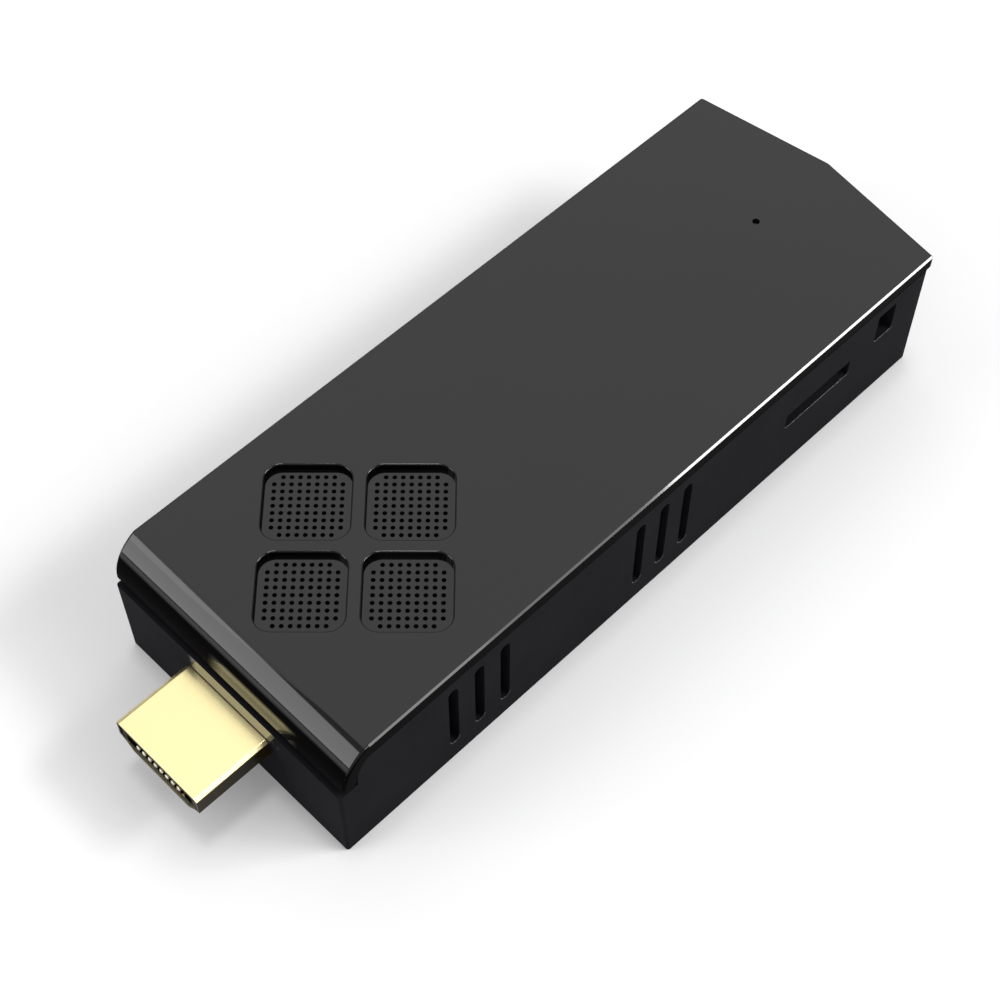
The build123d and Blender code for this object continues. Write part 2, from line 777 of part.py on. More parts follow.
fin_pitch = (sink_length - fin_thickness) / (fin_count - 1)
with BuildPart() as heatsink:
    with BuildSketch(Plane.XY.offset(sink_bottom)):
        with Locations(processor_place):
            Rectangle(sink_length, sink_width)
    extrude(amount=sink_base)
    with BuildSketch(Plane.XY.offset(sink_bottom + sink_base)):
        with Locations(processor_place):
            with GridLocations(fin_pitch, fin_pitch, fin_count, 1):
                Rectangle(fin_thickness, sink_width)
        with Locations(*standoff_places):
            Circle(sink_screw_pocket_radius, mode=Mode.SUBTRACT)
    extrude(amount=sink_height - sink_base)
    with BuildSketch(Plane.XY.offset(sink_bottom)):
        with Locations(*standoff_places):
            Circle(sink_screw_radius + sink_screw_clearance)
    extrude(amount=sink_base, mode=Mode.SUBTRACT)
heatsink.part.label = "heatsink"
export_step(heatsink.part, "parts/heatsink.step")

with BuildPart() as heatsink_standoffs:
    with BuildSketch(Plane.XY.offset(board_top)):
        with Locations(*standoff_places):
            Circle(standoff_radius)
            Circle(sink_screw_radius + screw_clearance, mode=Mode.SUBTRACT)
    extrude(amount=sink_bottom - board_top)
heatsink_standoffs.part.label = "heatsink_standoffs"
export_step(heatsink_standoffs.part, "parts/heatsink_standoffs.step")

with BuildPart() as heatsink_screws:
    with BuildSketch(Plane.XY.offset(board_top + screw_clearance)):
        with Locations(*standoff_places):
            Circle(sink_screw_radius)
    extrude(amount=sink_bottom + sink_base - board_top - screw_clearance)
    with BuildSketch(Plane.XY.offset(sink_bottom + sink_base)):
        with Locations(*standoff_places):
            Circle(sink_screw_head_radius)
    extrude(amount=sink_screw_head_height)
    with BuildSketch(Plane.XY.offset(sink_bottom + sink_base + sink_screw_head_height)):
        with Locations(*standoff_places):
            RegularPolygon(screw_recess_radius, 6)
    extrude(amount=-screw_recess_depth, mode=Mode.SUBTRACT)
heatsink_screws.part.label = "heatsink_screws"
export_step(heatsink_screws.part, "parts/heatsink_screws.step")

# Chips on the board's top
with BuildPart() as memory_chips:
    with BuildSketch(Plane.XY.offset(board_top)):
        with Locations((front_x + memory_from_front, 0)):
            with GridLocations(*memory_spread, 2, 2):
                Rectangle(*memory_size[:2])
    extrude(amount=memory_size[2])
    chamfer(memory_chips.faces().group_by(Axis.Z)[-1].edges(), chip_chamfer)
memory_chips.part.label = "memory_chips"
export_step(memory_chips.part, "parts/memory_chips.step")

with BuildPart() as storage_chip:
    with BuildSketch(Plane.XY.offset(board_top)):
        with Locations((rear_x - storage_from_rear, storage_inset - board_half_width)):
            Rectangle(*storage_size[:2])
    extrude(amount=storage_size[2])
    chamfer(storage_chip.faces().sort_by(Axis.Z)[-1].edges(), chip_chamfer)
storage_chip.part.label = "storage_chip"
export_step(storage_chip.part, "parts/storage_chip.step")

# Chips and power parts under the board
with BuildPart() as power_chip:
    with BuildSketch(Plane.XY.offset(board_bottom)):
        with Locations((front_x + power_chip_from_front, power_y)):
            Rectangle(*power_chip_size[:2])
    extrude(amount=-power_chip_size[2])
    chamfer(power_chip.faces().sort_by(Axis.Z)[0].edges(), chip_chamfer)
power_chip.part.label = "power_chip"
export_step(power_chip.part, "parts/power_chip.step")

with BuildPart() as inductors:
    with BuildSketch(Plane.XY.offset(board_bottom)):
        with Locations((front_x + inductor_from_front, power_y)):
            with GridLocations(*inductor_spread, 2, 2):
                RectangleRounded(*inductor_size[:2], inductor_edge_radius)
    extrude(amount=-inductor_size[2])
inductors.part.label = "inductors"
export_step(inductors.part, "parts/inductors.step")

with BuildPart() as power_shield:
    with BuildSketch(Plane.XY.offset(board_bottom)):
        with Locations((front_x + power_shield_from_front, power_y)):
            Rectangle(*power_shield_size[:2])
    extrude(amount=-power_shield_size[2])
    with BuildSketch(Plane.XY.offset(board_bottom)):
        with Locations((front_x + power_shield_from_front, power_y)):
            Rectangle(
                power_shield_size[0] - 2 * power_shield_sheet,
                power_shield_size[1] - 2 * power_shield_sheet,
            )
    extrude(amount=power_shield_sheet - power_shield_size[2], mode=Mode.SUBTRACT)
    with BuildSketch(Plane.XY.offset(board_bottom)):
        with Locations((front_x + power_shield_from_front, power_y)):
            with GridLocations(*power_shield_hole_pitch, *power_shield_holes):
                Circle(power_shield_hole_radius)
    extrude(amount=-power_shield_size[2], mode=Mode.SUBTRACT)
power_shield.part.label = "power_shield"
export_step(power_shield.part, "parts/power_shield.step")

with BuildPart() as firmware_chip:
    with BuildSketch(Plane.XY.offset(board_bottom)):
        with Locations((front_x + firmware_chip_from_front, firmware_chip_y)):
            Rectangle(*firmware_chip_size[:2])
    extrude(amount=-firmware_chip_size[2])
    chamfer(firmware_chip.faces().sort_by(Axis.Z)[0].edges(), chip_chamfer)
firmware_chip.part.label = "firmware_chip"
export_step(firmware_chip.part, "parts/firmware_chip.step")

with BuildPart() as crystal:
    with BuildSketch(Plane.XY.offset(board_bottom)):
        with Locations((front_x + crystal_from_front, crystal_y)):
            RectangleRounded(*crystal_size[:2], inductor_edge_radius)
    extrude(amount=-crystal_size[2])
crystal.part.label = "crystal"
export_step(crystal.part, "parts/crystal.step")

capacitor_height = board_bottom - floor_thickness - capacitor_floor_gap
with BuildPart() as capacitors:
    with BuildSketch(Plane.XY.offset(board_bottom)):
        with Locations((rear_x - capacitor_from_rear, capacitor_inset - board_half_width)):
            with GridLocations(capacitor_pitch, capacitor_pitch, capacitor_count, 1):
                Circle(capacitor_radius)
    extrude(amount=-capacitor_height)
    fillet(capacitors.faces().group_by(Axis.Z)[0].edges(), capacitor_edge_radius)
capacitors.part.label = "capacitors"
export_step(capacitors.part, "parts/capacitors.step")

# Wireless module under the board, its shield, and the antenna on the tub's floor
wifi_x = rear_x - wifi_from_rear
wifi_bottom = board_bottom - wifi_size[2]
wifi_connector_y = wifi_y + wifi_size[1] / 2 - wifi_connector_setback
lead_height = wifi_bottom - wifi_connector_height - lead_radius
with BuildPart() as wifi_module:
    with BuildSketch(Plane.XY.offset(board_bottom)):
        with Locations((wifi_x, wifi_y)):
            Rectangle(*wifi_size[:2])
    extrude(amount=-wifi_size[2])
    with BuildSketch(Plane.XY.offset(wifi_bottom)):
        with Locations((wifi_x, wifi_connector_y)):
            Circle(wifi_connector_radius)
    extrude(amount=-wifi_connector_height)
wifi_module.part.label = "wifi_module"
export_step(wifi_module.part, "parts/wifi_module.step")

with BuildPart() as wifi_shield:
    with BuildSketch(Plane.XY.offset(wifi_bottom)):
        with Locations((wifi_x, wifi_y - wifi_shield_shift)):
            Rectangle(*wifi_shield_size[:2])
    extrude(amount=-wifi_shield_size[2])
    with BuildSketch(Plane.XY.offset(wifi_bottom)):
        with Locations((wifi_x, wifi_y - wifi_shield_shift)):
            Rectangle(
                wifi_shield_size[0] - 2 * wifi_shield_sheet,
                wifi_shield_size[1] - 2 * wifi_shield_sheet,
            )
    extrude(amount=wifi_shield_sheet - wifi_shield_size[2], mode=Mode.SUBTRACT)
wifi_shield.part.label = "wifi_shield"
export_step(wifi_shield.part, "parts/wifi_shield.step")

antenna_top = floor_thickness + antenna_size[2]
with BuildPart() as antenna:
    with BuildSketch(Plane.XY.offset(floor_thickness)):
        with Locations((rear_x - antenna_from_rear, antenna_y)):
            Rectangle(*antenna_size[:2])
    extrude(amount=antenna_size[2])
antenna.part.label = "antenna"
export_step(antenna.part, "parts/antenna.step")

# Thin lead from the module's connector down to the antenna
lead_rest = antenna_top + lead_radius
antenna_lead_points = [
    (wifi_x, wifi_connector_y, lead_height),
    (wifi_x, wifi_connector_y + lead_run, lead_height),
    (wifi_x, antenna_y, lead_rest),
    (wifi_x - lead_run, antenna_y, lead_rest),
]
antenna_lead_radii = lead_radii(antenna_lead_points)
print("antenna lead's radii", antenna_lead_radii)
with BuildPart() as antenna_lead:
    with BuildLine() as lead_path:
        FilletPolyline(*antenna_lead_points, radius=antenna_lead_radii)
    with BuildSketch(Plane(origin=lead_path.line @ 0, z_dir=lead_path.line % 0)):
        Circle(lead_radius)
    sweep()
    with BuildSketch(Plane.XY.offset(lead_height - lead_radius)):
        with Locations((wifi_x, wifi_connector_y)):
            Circle(lead_cap_radius)
    extrude(amount=2 * lead_radius)
antenna_lead.part.label = "antenna_lead"
export_step(antenna_lead.part, "parts/antenna_lead.step")

# Fan: square frame with a motor plate on three struts and a tube for the bearing
motor_plate_top = fan_bottom + motor_plate_thickness
hub_top_height = fan_top - hub_top_gap
hub_ceiling = hub_top_height - hub_top
hub_bottom = motor_plate_top + hub_bottom_gap
tube_top = hub_ceiling - tube_top_gap
with BuildPart() as fan_frame:
    with BuildSketch(Plane.XY.offset(fan_bottom)):
        with Locations((fan_x, 0)):
            RectangleRounded(fan_size, fan_size, fan_corner_radius)
            Circle(fan_bore_radius, mode=Mode.SUBTRACT)
        with Locations(*fan_corners):
            Circle(fan_hole_radius, mode=Mode.SUBTRACT)
    extrude(amount=fan_thickness)
    with BuildSketch(Plane.XY.offset(fan_bottom)):
        with Locations((fan_x, 0)):
            Circle(motor_plate_radius)
            with PolarLocations(0, strut_count):
                Rectangle(
                    (fan_bore_radius + fan_size / 2) / 2, strut_width, align=(Align.MIN, Align.CENTER)
                )
    extrude(amount=motor_plate_thickness)
    with BuildSketch(Plane.XY.offset(motor_plate_top)):
        with Locations((fan_x, 0)):
            Circle(tube_radius)
            Circle(bearing_radius, mode=Mode.SUBTRACT)
    extrude(amount=tube_top - motor_plate_top)
fan_frame.part.label = "fan_frame"
export_step(fan_frame.part, "parts/fan_frame.step")

with BuildPart() as fan_bearing:
    with BuildSketch(Plane.XY.offset(motor_plate_top)):
        with Locations((fan_x, 0)):
            Circle(bearing_radius)
            Circle(shaft_radius + shaft_fit, mode=Mode.SUBTRACT)
    extrude(amount=tube_top - motor_plate_top)
fan_bearing.part.label = "fan_bearing"
export_step(fan_bearing.part, "parts/fan_bearing.step")

with BuildPart() as fan_board:
    with BuildSketch(Plane.XY.offset(motor_plate_top)):
        with Locations((fan_x, 0)):
            Circle(motor_board_radius)
            Circle(tube_radius, mode=Mode.SUBTRACT)
    extrude(amount=motor_board_thickness)
fan_board.part.label = "fan_board"
export_step(fan_board.part, "parts/fan_board.step")

# Stator with four poles, and a winding round each
magnet_outer = hub_radius - hub_wall
magnet_inner = magnet_outer - magnet_thickness
stator_outer = magnet_inner - stator_gap
stator_ring = tube_radius + stator_shoe
coil_start = stator_outer - stator_shoe - coil_length
stator_bottom = motor_plate_top + motor_board_thickness + stator_end_gap
stator_height = hub_ceiling - stator_end_gap - stator_bottom
with BuildPart() as fan_stator:
    with BuildSketch(Plane.XY.offset(stator_bottom)):
        with Locations((fan_x, 0)):
            with PolarLocations(0, stator_poles):
                Rectangle(stator_outer, stator_pole_width, align=(Align.MIN, Align.CENTER))
            with PolarLocations(stator_outer - stator_shoe, stator_poles):
                Rectangle(stator_outer, stator_outer * 2 / 3, align=(Align.MIN, Align.CENTER))
            Circle(stator_ring)
            Circle(stator_outer, mode=Mode.INTERSECT)
            Circle(tube_radius, mode=Mode.SUBTRACT)
    extrude(amount=stator_height)
fan_stator.part.label = "fan_stator"
export_step(fan_stator.part, "parts/fan_stator.step")

with BuildPart() as fan_coils:
    with BuildSketch(Plane.XY.offset(stator_bottom - coil_thickness)):
        with Locations((fan_x, 0)):
            with PolarLocations(coil_start, stator_poles):
                Rectangle(
                    coil_length, stator_pole_width + 2 * coil_thickness, align=(Align.MIN, Align.CENTER)
                )
    extrude(amount=stator_height + 2 * coil_thickness)
    add(fan_stator.part, mode=Mode.SUBTRACT)
fan_coils.part.label = "fan_coils"
export_step(fan_coils.part, "parts/fan_coils.step")

# Rotor: hub cup with swept blades, a ring magnet inside it, and the shaft
blade_reach = fan_bore_radius - blade_tip_gap
blade_bottom = hub_bottom + blade_end_gap
blade_height = hub_top_height - blade_end_gap - blade_bottom
with BuildPart() as fan_blade:
    with BuildSketch(Plane.YZ.offset(hub_radius - blade_root)):
        Polygon(
            (-blade_sweep / 2 - blade_thickness / 2, 0),
            (-blade_sweep / 2 + blade_thickness / 2, 0),
            (blade_sweep / 2 + blade_thickness / 2, blade_height),
            (blade_sweep / 2 - blade_thickness / 2, blade_height),
            align=None,
        )
    extrude(amount=fan_bore_radius)
    with BuildSketch():
        Circle(blade_reach)
    extrude(amount=blade_height, mode=Mode.INTERSECT)

with BuildPart() as fan_impeller:
    with BuildSketch(Plane.XY.offset(hub_bottom)):
        with Locations((fan_x, 0)):
            Circle(hub_radius)
    extrude(amount=hub_top_height - hub_bottom)
    with BuildSketch(Plane.XY.offset(hub_bottom)):
        with Locations((fan_x, 0)):
            Circle(magnet_outer)
    extrude(amount=hub_ceiling - hub_bottom, mode=Mode.SUBTRACT)
    with Locations((fan_x, 0, blade_bottom)):
        with PolarLocations(0, blade_count):
            add(fan_blade.part)
    with BuildSketch(Plane.XY.offset(hub_ceiling)):
        with Locations((fan_x, 0)):
            Circle(shaft_radius)
    extrude(amount=hub_top / 2, mode=Mode.SUBTRACT)
fan_impeller.part.label = "fan_impeller"
export_step(fan_impeller.part, "parts/fan_impeller.step")

with BuildPart() as fan_magnet:
    with BuildSketch(Plane.XY.offset(hub_ceiling)):
        with Locations((fan_x, 0)):
            Circle(magnet_outer)
            Circle(magnet_inner, mode=Mode.SUBTRACT)
    extrude(amount=hub_bottom + magnet_rise - hub_ceiling)
fan_magnet.part.label = "fan_magnet"
export_step(fan_magnet.part, "parts/fan_magnet.step")

with BuildPart() as fan_shaft:
    with BuildSketch(Plane.XY.offset(motor_plate_top + shaft_seat)):
        with Locations((fan_x, 0)):
            Circle(shaft_radius)
    extrude(amount=hub_ceiling + hub_top / 2 - motor_plate_top - shaft_seat)
fan_shaft.part.label = "fan_shaft"
export_step(fan_shaft.part, "parts/fan_shaft.step")

with BuildPart() as fan_screws:
    with BuildSketch(Plane.XY.offset(fan_bottom)):
        with Locations(*fan_corners):
            Circle(fan_screw_radius)
    extrude(amount=shell_height - fan_screw_tip_cover - fan_bottom)
    with BuildSketch(Plane.XY.offset(fan_bottom)):
        with Locations(*fan_corners):
            Circle(fan_screw_head_radius)
    extrude(amount=-fan_screw_head_height)
    with BuildSketch(Plane.XY.offset(fan_bottom - fan_screw_head_height)):
        with Locations(*fan_corners):
            RegularPolygon(screw_recess_radius, 6)
    extrude(amount=screw_recess_depth, mode=Mode.SUBTRACT)
fan_screws.part.label = "fan_screws"
export_step(fan_screws.part, "parts/fan_screws.step")

# Connector on the board for the fan's lead
connector_x = fan_x + fan_size / 2 + connector_gap
connector_top = board_top + connector_size[2]
with BuildPart() as fan_connector:
    with BuildSketch(Plane.XY.offset(board_top)):
        with Locations((connector_x, connector_y)):
            Rectangle(*connector_size[:2])
    extrude(amount=connector_size[2])
    chamfer(fan_connector.faces().sort_by(Axis.Z)[-1].edges(), chip_chamfer)
fan_connector.part.label = "fan_connector"
export_step(fan_connector.part, "parts/fan_connector.step")

fan_lead_points = [
    (fan_x + fan_size / 2, connector_y, fan_bottom + fan_lead_rise),
    (connector_x, connector_y, fan_bottom + fan_lead_rise),
    (connector_x, connector_y, connector_top),
]
fan_lead_radii = lead_radii(fan_lead_points)
print("fan lead's radii", fan_lead_radii)
with BuildPart() as fan_lead:
    with BuildLine() as fan_lead_path:
        FilletPolyline(*fan_lead_points, radius=fan_lead_radii)
    with BuildSketch(Plane(origin=fan_lead_path.line @ 0, z_dir=fan_lead_path.line % 0)):
        Circle(fan_lead_radius)
    sweep()
fan_lead.part.label = "fan_lead"
export_step(fan_lead.part, "parts/fan_lead.step")

# Two USB type A sockets: folded shell, core with its tongue, and contacts under the tongue
usb_mouth = Plane.XZ.offset(-usb_front)
usb_core_front = usb_front - usb_depth + usb_sheet + usb_core_depth
usb_tongue_front = usb_front - usb_tongue_setback
usb_tongue_top = board_top + usb_height - usb_sheet - usb_tongue_drop
usb_tongue_bottom = usb_tongue_top - usb_tongue_thickness
for usb_name, usb_x in usb_places.items():
    with BuildPart() as usb_shell:
        with BuildSketch(usb_mouth):
            with Locations((usb_x, usb_center_height)):
                Rectangle(usb_width, usb_height)
        extrude(amount=usb_depth)
        with BuildSketch(usb_mouth):
            with Locations((usb_x, usb_center_height)):
                Rectangle(usb_width - 2 * usb_sheet, usb_height - 2 * usb_sheet)
        extrude(amount=usb_depth - usb_sheet, mode=Mode.SUBTRACT)
        with BuildSketch(Plane.XY.offset(board_top)):
            with Locations(*usb_leg_places[usb_name]):
                Rectangle(usb_leg[1], usb_leg[0])
        extrude(amount=-usb_leg[2])
    usb_shell.part.label = f"{usb_name}_shell"
    export_step(usb_shell.part, f"parts/{usb_name}_shell.step")

    with BuildPart() as usb_tongue:
        with BuildSketch(Plane.XZ.offset(-usb_core_front)):
            with Locations((usb_x, usb_center_height)):
                Rectangle(usb_width - 2 * usb_sheet, usb_height - 2 * usb_sheet)
        extrude(amount=usb_core_depth)
        with BuildSketch(Plane.XZ.offset(-usb_tongue_front)):
            with Locations((usb_x, (usb_tongue_top + usb_tongue_bottom) / 2)):
                Rectangle(usb_tongue_width, usb_tongue_thickness)
        extrude(amount=usb_tongue_front - usb_core_front)
    usb_tongue.part.label = f"{usb_name}_tongue"
    export_step(usb_tongue.part, f"parts/{usb_name}_tongue.step")

    contact_front = usb_tongue_front - usb_contact_setback
    fast = usb_name == "usb3"
    if fast:
        contact_front -= usb3_contact_length + usb3_contact_gap
    with BuildPart() as usb_contacts:
        with BuildSketch(Plane.XY.offset(usb_tongue_bottom)):
            with Locations(*[(usb_x + place, contact_front) for place in usb_contact_places]):
                Rectangle(
                    usb_contact_width, contact_front - usb_core_front, align=(Align.CENTER, Align.MAX)
                )
            if fast:
                with Locations((usb_x, usb_tongue_front - usb_contact_setback)):
                    with GridLocations(usb3_contact_pitch, usb3_contact_pitch, usb3_contact_count, 1):
                        Rectangle(
                            usb3_contact_width, usb3_contact_length, align=(Align.CENTER, Align.MAX)
                        )
        extrude(amount=-usb_contact_thickness)
    usb_contacts.part.label = f"{usb_name}_contacts"
    export_step(usb_contacts.part, f"parts/{usb_name}_contacts.step")

# Power socket: small bevelled shell, its core and its contacts
micro_front = half_width - micro_recess
micro_rear = micro_front - micro_depth
micro_core_front = micro_rear + micro_sheet + micro_core_depth
micro_tongue_front = micro_front - micro_tongue_setback
with BuildPart() as micro_usb_shell:
    with BuildSketch(Plane.XZ.offset(-micro_front)):
        micro_face(0)
    extrude(amount=micro_depth)
    with BuildSketch(Plane.XZ.offset(-micro_front)):
        micro_face(0)
        offset(amount=-micro_sheet, kind=Kind.INTERSECTION)
    extrude(amount=micro_depth - micro_sheet, mode=Mode.SUBTRACT)
micro_usb_shell.part.label = "micro_usb_shell"
export_step(micro_usb_shell.part, "parts/micro_usb_shell.step")

with BuildPart() as micro_usb_tongue:
    with BuildSketch(Plane.XZ.offset(-micro_core_front)):
        micro_face(0)
        offset(amount=-micro_sheet, kind=Kind.INTERSECTION)
    extrude(amount=micro_core_depth)
    with BuildSketch(Plane.XZ.offset(-micro_tongue_front)):
        with Locations((micro_x, board_top + micro_tongue_height)):
            Rectangle(*micro_tongue)
    extrude(amount=micro_tongue_front - micro_core_front)
micro_usb_tongue.part.label = "micro_usb_tongue"
export_step(micro_usb_tongue.part, "parts/micro_usb_tongue.step")

with BuildPart() as micro_usb_contacts:
    with BuildSketch(Plane.XY.offset(board_top + micro_tongue_height + micro_tongue[1] / 2)):
        with Locations((micro_x, micro_core_front)):
            with GridLocations(micro_contact_pitch, micro_contact_pitch, micro_contact_count, 1):
                Rectangle(
                    micro_contact_width,
                    micro_tongue_front - micro_core_front - micro_contact_width,
                    align=(Align.CENTER, Align.MIN),
                )
    extrude(amount=micro_contact_thickness)
micro_usb_contacts.part.label = "micro_usb_contacts"
export_step(micro_usb_contacts.part, "parts/micro_usb_contacts.step")

# Card socket: moulded base with rails, sheet cover, contacts, and the push-push slider with its spring
socket_left = card_x - card_width / 2 - socket_rail
socket_front = socket_gap - inner_half_width
socket_rear_wall = socket_front + socket_length - socket_rear
rail_height = socket_height - socket_sheet
card_right = card_x + card_width / 2
slider_left = card_right + slider_gap
slider_right = slider_left + slider_size[0]
slider_bottom = board_top + socket_floor + slider_gap
slider_front = socket_front + slider_rest
slider_rear = slider_front + slider_size[1]
with BuildPart() as card_socket_base:
    with BuildSketch(Plane.XY.offset(board_top)):
        with Locations((socket_left, socket_front)):
            Rectangle(socket_width, socket_length, align=(Align.MIN, Align.MIN))
    extrude(amount=rail_height)
    with BuildSketch(Plane.XY.offset(board_top + socket_floor)):
        with Locations((card_x - card_width / 2, socket_front)):
            Rectangle(
                slider_right + slider_gap - card_x + card_width / 2,
                socket_length - socket_rear,
                align=(Align.MIN, Align.MIN),
            )
    extrude(amount=rail_height, mode=Mode.SUBTRACT)
    # A short stop closes the slider's channel at the front
    with BuildSketch(Plane.XY.offset(board_top + socket_floor)):
        with Locations((card_right, socket_front)):
            Rectangle(
                slider_right + slider_gap - card_right,
                slider_rest - slider_gap,
                align=(Align.MIN, Align.MIN),
            )
    extrude(amount=rail_height - socket_floor)
card_socket_base.part.label = "card_socket_base"
export_step(card_socket_base.part, "parts/card_socket_base.step")

with BuildPart() as card_socket_cover:
    with BuildSketch(Plane.XY.offset(board_top + socket_floor)):
        with Locations((socket_left - socket_sheet, socket_front)):
            Rectangle(socket_width + 2 * socket_sheet, socket_length, align=(Align.MIN, Align.MIN))
    extrude(amount=socket_height - socket_floor)
    with BuildSketch(Plane.XY.offset(board_top)):
        with Locations((socket_left, socket_front)):
            Rectangle(socket_width, socket_length, align=(Align.MIN, Align.MIN))
    extrude(amount=rail_height, mode=Mode.SUBTRACT)
    with BuildSketch(Plane.XY.offset(board_top)):
        with Locations((card_x, socket_front + socket_length / 2)):
            Rectangle(*socket_window)
    extrude(amount=socket_height, mode=Mode.SUBTRACT)
card_socket_cover.part.label = "card_socket_cover"
export_step(card_socket_cover.part, "parts/card_socket_cover.step")

with BuildPart() as card_contacts:
    with BuildSketch(Plane.XY.offset(board_top + socket_floor)):
        with Locations((card_x, socket_rear_wall)):
            with GridLocations(card_contact_pitch, card_contact_pitch, card_contact_count, 1):
                Rectangle(*card_contact_size[:2], align=(Align.CENTER, Align.MAX))
    extrude(amount=card_contact_size[2])
card_contacts.part.label = "card_contacts"
export_step(card_contacts.part, "parts/card_contacts.step")

with BuildPart() as card_slider:
    with BuildSketch(Plane.XY.offset(slider_bottom)):
        with Locations((slider_right, slider_rear)):
            Rectangle(*slider_size[:2], align=(Align.MAX, Align.MAX))
            Rectangle(
                slider_size[0] + slider_gap + slider_hook, slider_hook, align=(Align.MAX, Align.MAX)
            )
    extrude(amount=slider_size[2])
card_slider.part.label = "card_slider"
export_step(card_slider.part, "parts/card_slider.step")

spring_length = socket_rear_wall - slider_rear - 2 * spring_wire_radius
spring_x = slider_right - slider_size[0] / 2
spring_height = slider_bottom + slider_size[2] / 2
with BuildPart() as card_spring:
    with BuildLine() as spring_path:
        Helix(
            pitch=spring_length / spring_turns,
            height=spring_length,
            radius=spring_radius,
            center=(spring_x, slider_rear + spring_wire_radius, spring_height),
            direction=(0, 1, 0),
        )
    with BuildSketch(Plane(origin=spring_path.line @ 0, z_dir=spring_path.line % 0)):
        Circle(spring_wire_radius)
    sweep()
card_spring.part.label = "card_spring"
export_step(card_spring.part, "parts/card_spring.step")

# Power button in its slot, the switch behind it, and the switch's plunger
button_face = half_width + button_proud
flange_front = inner_half_width - button_flange_gap
flange_rear = flange_front - button_flange[2]
stem_rear = flange_rear - button_stem
switch_front = stem_rear - plunger_reach
with BuildPart() as power_button:
    with BuildSketch(Plane.XZ.offset(-button_face)):
        with Locations((button_x, button_center_height)):
            SlotOverall(button_width, button_height)
    extrude(amount=button_face - flange_front)
    fillet(power_button.faces().sort_by(Axis.Y)[-1].edges(), button_edge_radius)
    with BuildSketch(Plane.XZ.offset(-flange_front)):
        with Locations((button_x, button_center_height)):
            Rectangle(*button_flange[:2])
    extrude(amount=button_flange[2])
    with BuildSketch(Plane.XZ.offset(-flange_rear)):
        with Locations((button_x, button_center_height)):
            Rectangle(*plunger_size)
    extrude(amount=button_stem)
power_button.part.label = "power_button"
export_step(power_button.part, "parts/power_button.step")

with BuildPart() as switch_plunger:
    with BuildSketch(Plane.XZ.offset(-stem_rear)):
        with Locations((button_x, button_center_height)):
            Rectangle(*plunger_size)
    extrude(amount=plunger_reach + plunger_depth)
switch_plunger.part.label = "switch_plunger"
export_step(switch_plunger.part, "parts/switch_plunger.step")

with BuildPart() as switch_body:
    with BuildSketch(Plane.XZ.offset(-switch_front)):
        with Locations((button_x, board_top)):
            Rectangle(switch_size[0], switch_size[2], align=(Align.CENTER, Align.MIN))
    extrude(amount=switch_size[1])
    with BuildSketch(Plane.XZ.offset(-switch_front)):
        with Locations((button_x, button_center_height)):
            Rectangle(plunger_size[0] + 2 * plunger_clearance, plunger_size[1] + 2 * plunger_clearance)
    extrude(amount=plunger_depth + button_travel + plunger_clearance, mode=Mode.SUBTRACT)
switch_body.part.label = "switch_body"
export_step(switch_body.part, "parts/switch_body.step")

# Status light on the board, and the clear pipe that carries it up to the cover
led_top = board_top + led_size[2]
with BuildPart() as status_led:
    with BuildSketch(Plane.XY.offset(board_top)):
        with Locations((light_x, 0)):
            Rectangle(*led_size[:2])
    extrude(amount=led_size[2])
status_led.part.label = "status_led"
export_step(status_led.part, "parts/status_led.step")

with BuildPart() as light_pipe:
    with BuildSketch(Plane.XY.offset(led_top + light_pipe_gap)):
        with Locations((light_x, 0)):
            Circle(light_pipe_radius)
    extrude(amount=underside - led_top - light_pipe_gap)
    with BuildSketch(Plane.XY.offset(underside)):
        with Locations((light_x, 0)):
            Circle(light_pipe_tip_radius)
    extrude(amount=cover_thickness - light_pipe_recess)
light_pipe.part.label = "light_pipe"
export_step(light_pipe.part, "parts/light_pipe.step")

# Case screws
with BuildPart() as housing_screws:
    with BuildSketch(Plane.XY.offset(screw_head_recess)):
        with Locations(*screw_places):
            Circle(screw_head_radius)
    extrude(amount=screw_head_height)
    with BuildSketch(Plane.XY.offset(screw_head_recess)):
        with Locations(*screw_places):
            Circle(screw_radius)
    extrude(amount=screw_tip - screw_head_recess)
    with BuildSketch(Plane.XY.offset(screw_head_recess)):
        with Locations(*screw_places):
            RegularPolygon(screw_recess_radius, 6)
    extrude(amount=screw_recess_depth, mode=Mode.SUBTRACT)
housing_screws.part.label = "housing_screws"
export_step(housing_screws.part, "parts/housing_screws.step")
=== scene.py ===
"""Looks of an HDMI stick computer: finishes, small details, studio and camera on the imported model."""

import logging
from dataclasses import dataclass
from enum import Enum
from functools import cache
from math import cos, pi, radians, sin, tau
from typing import Any, Iterable, Sequence

import bmesh
import bpy
from mathutils import Matrix, Vector


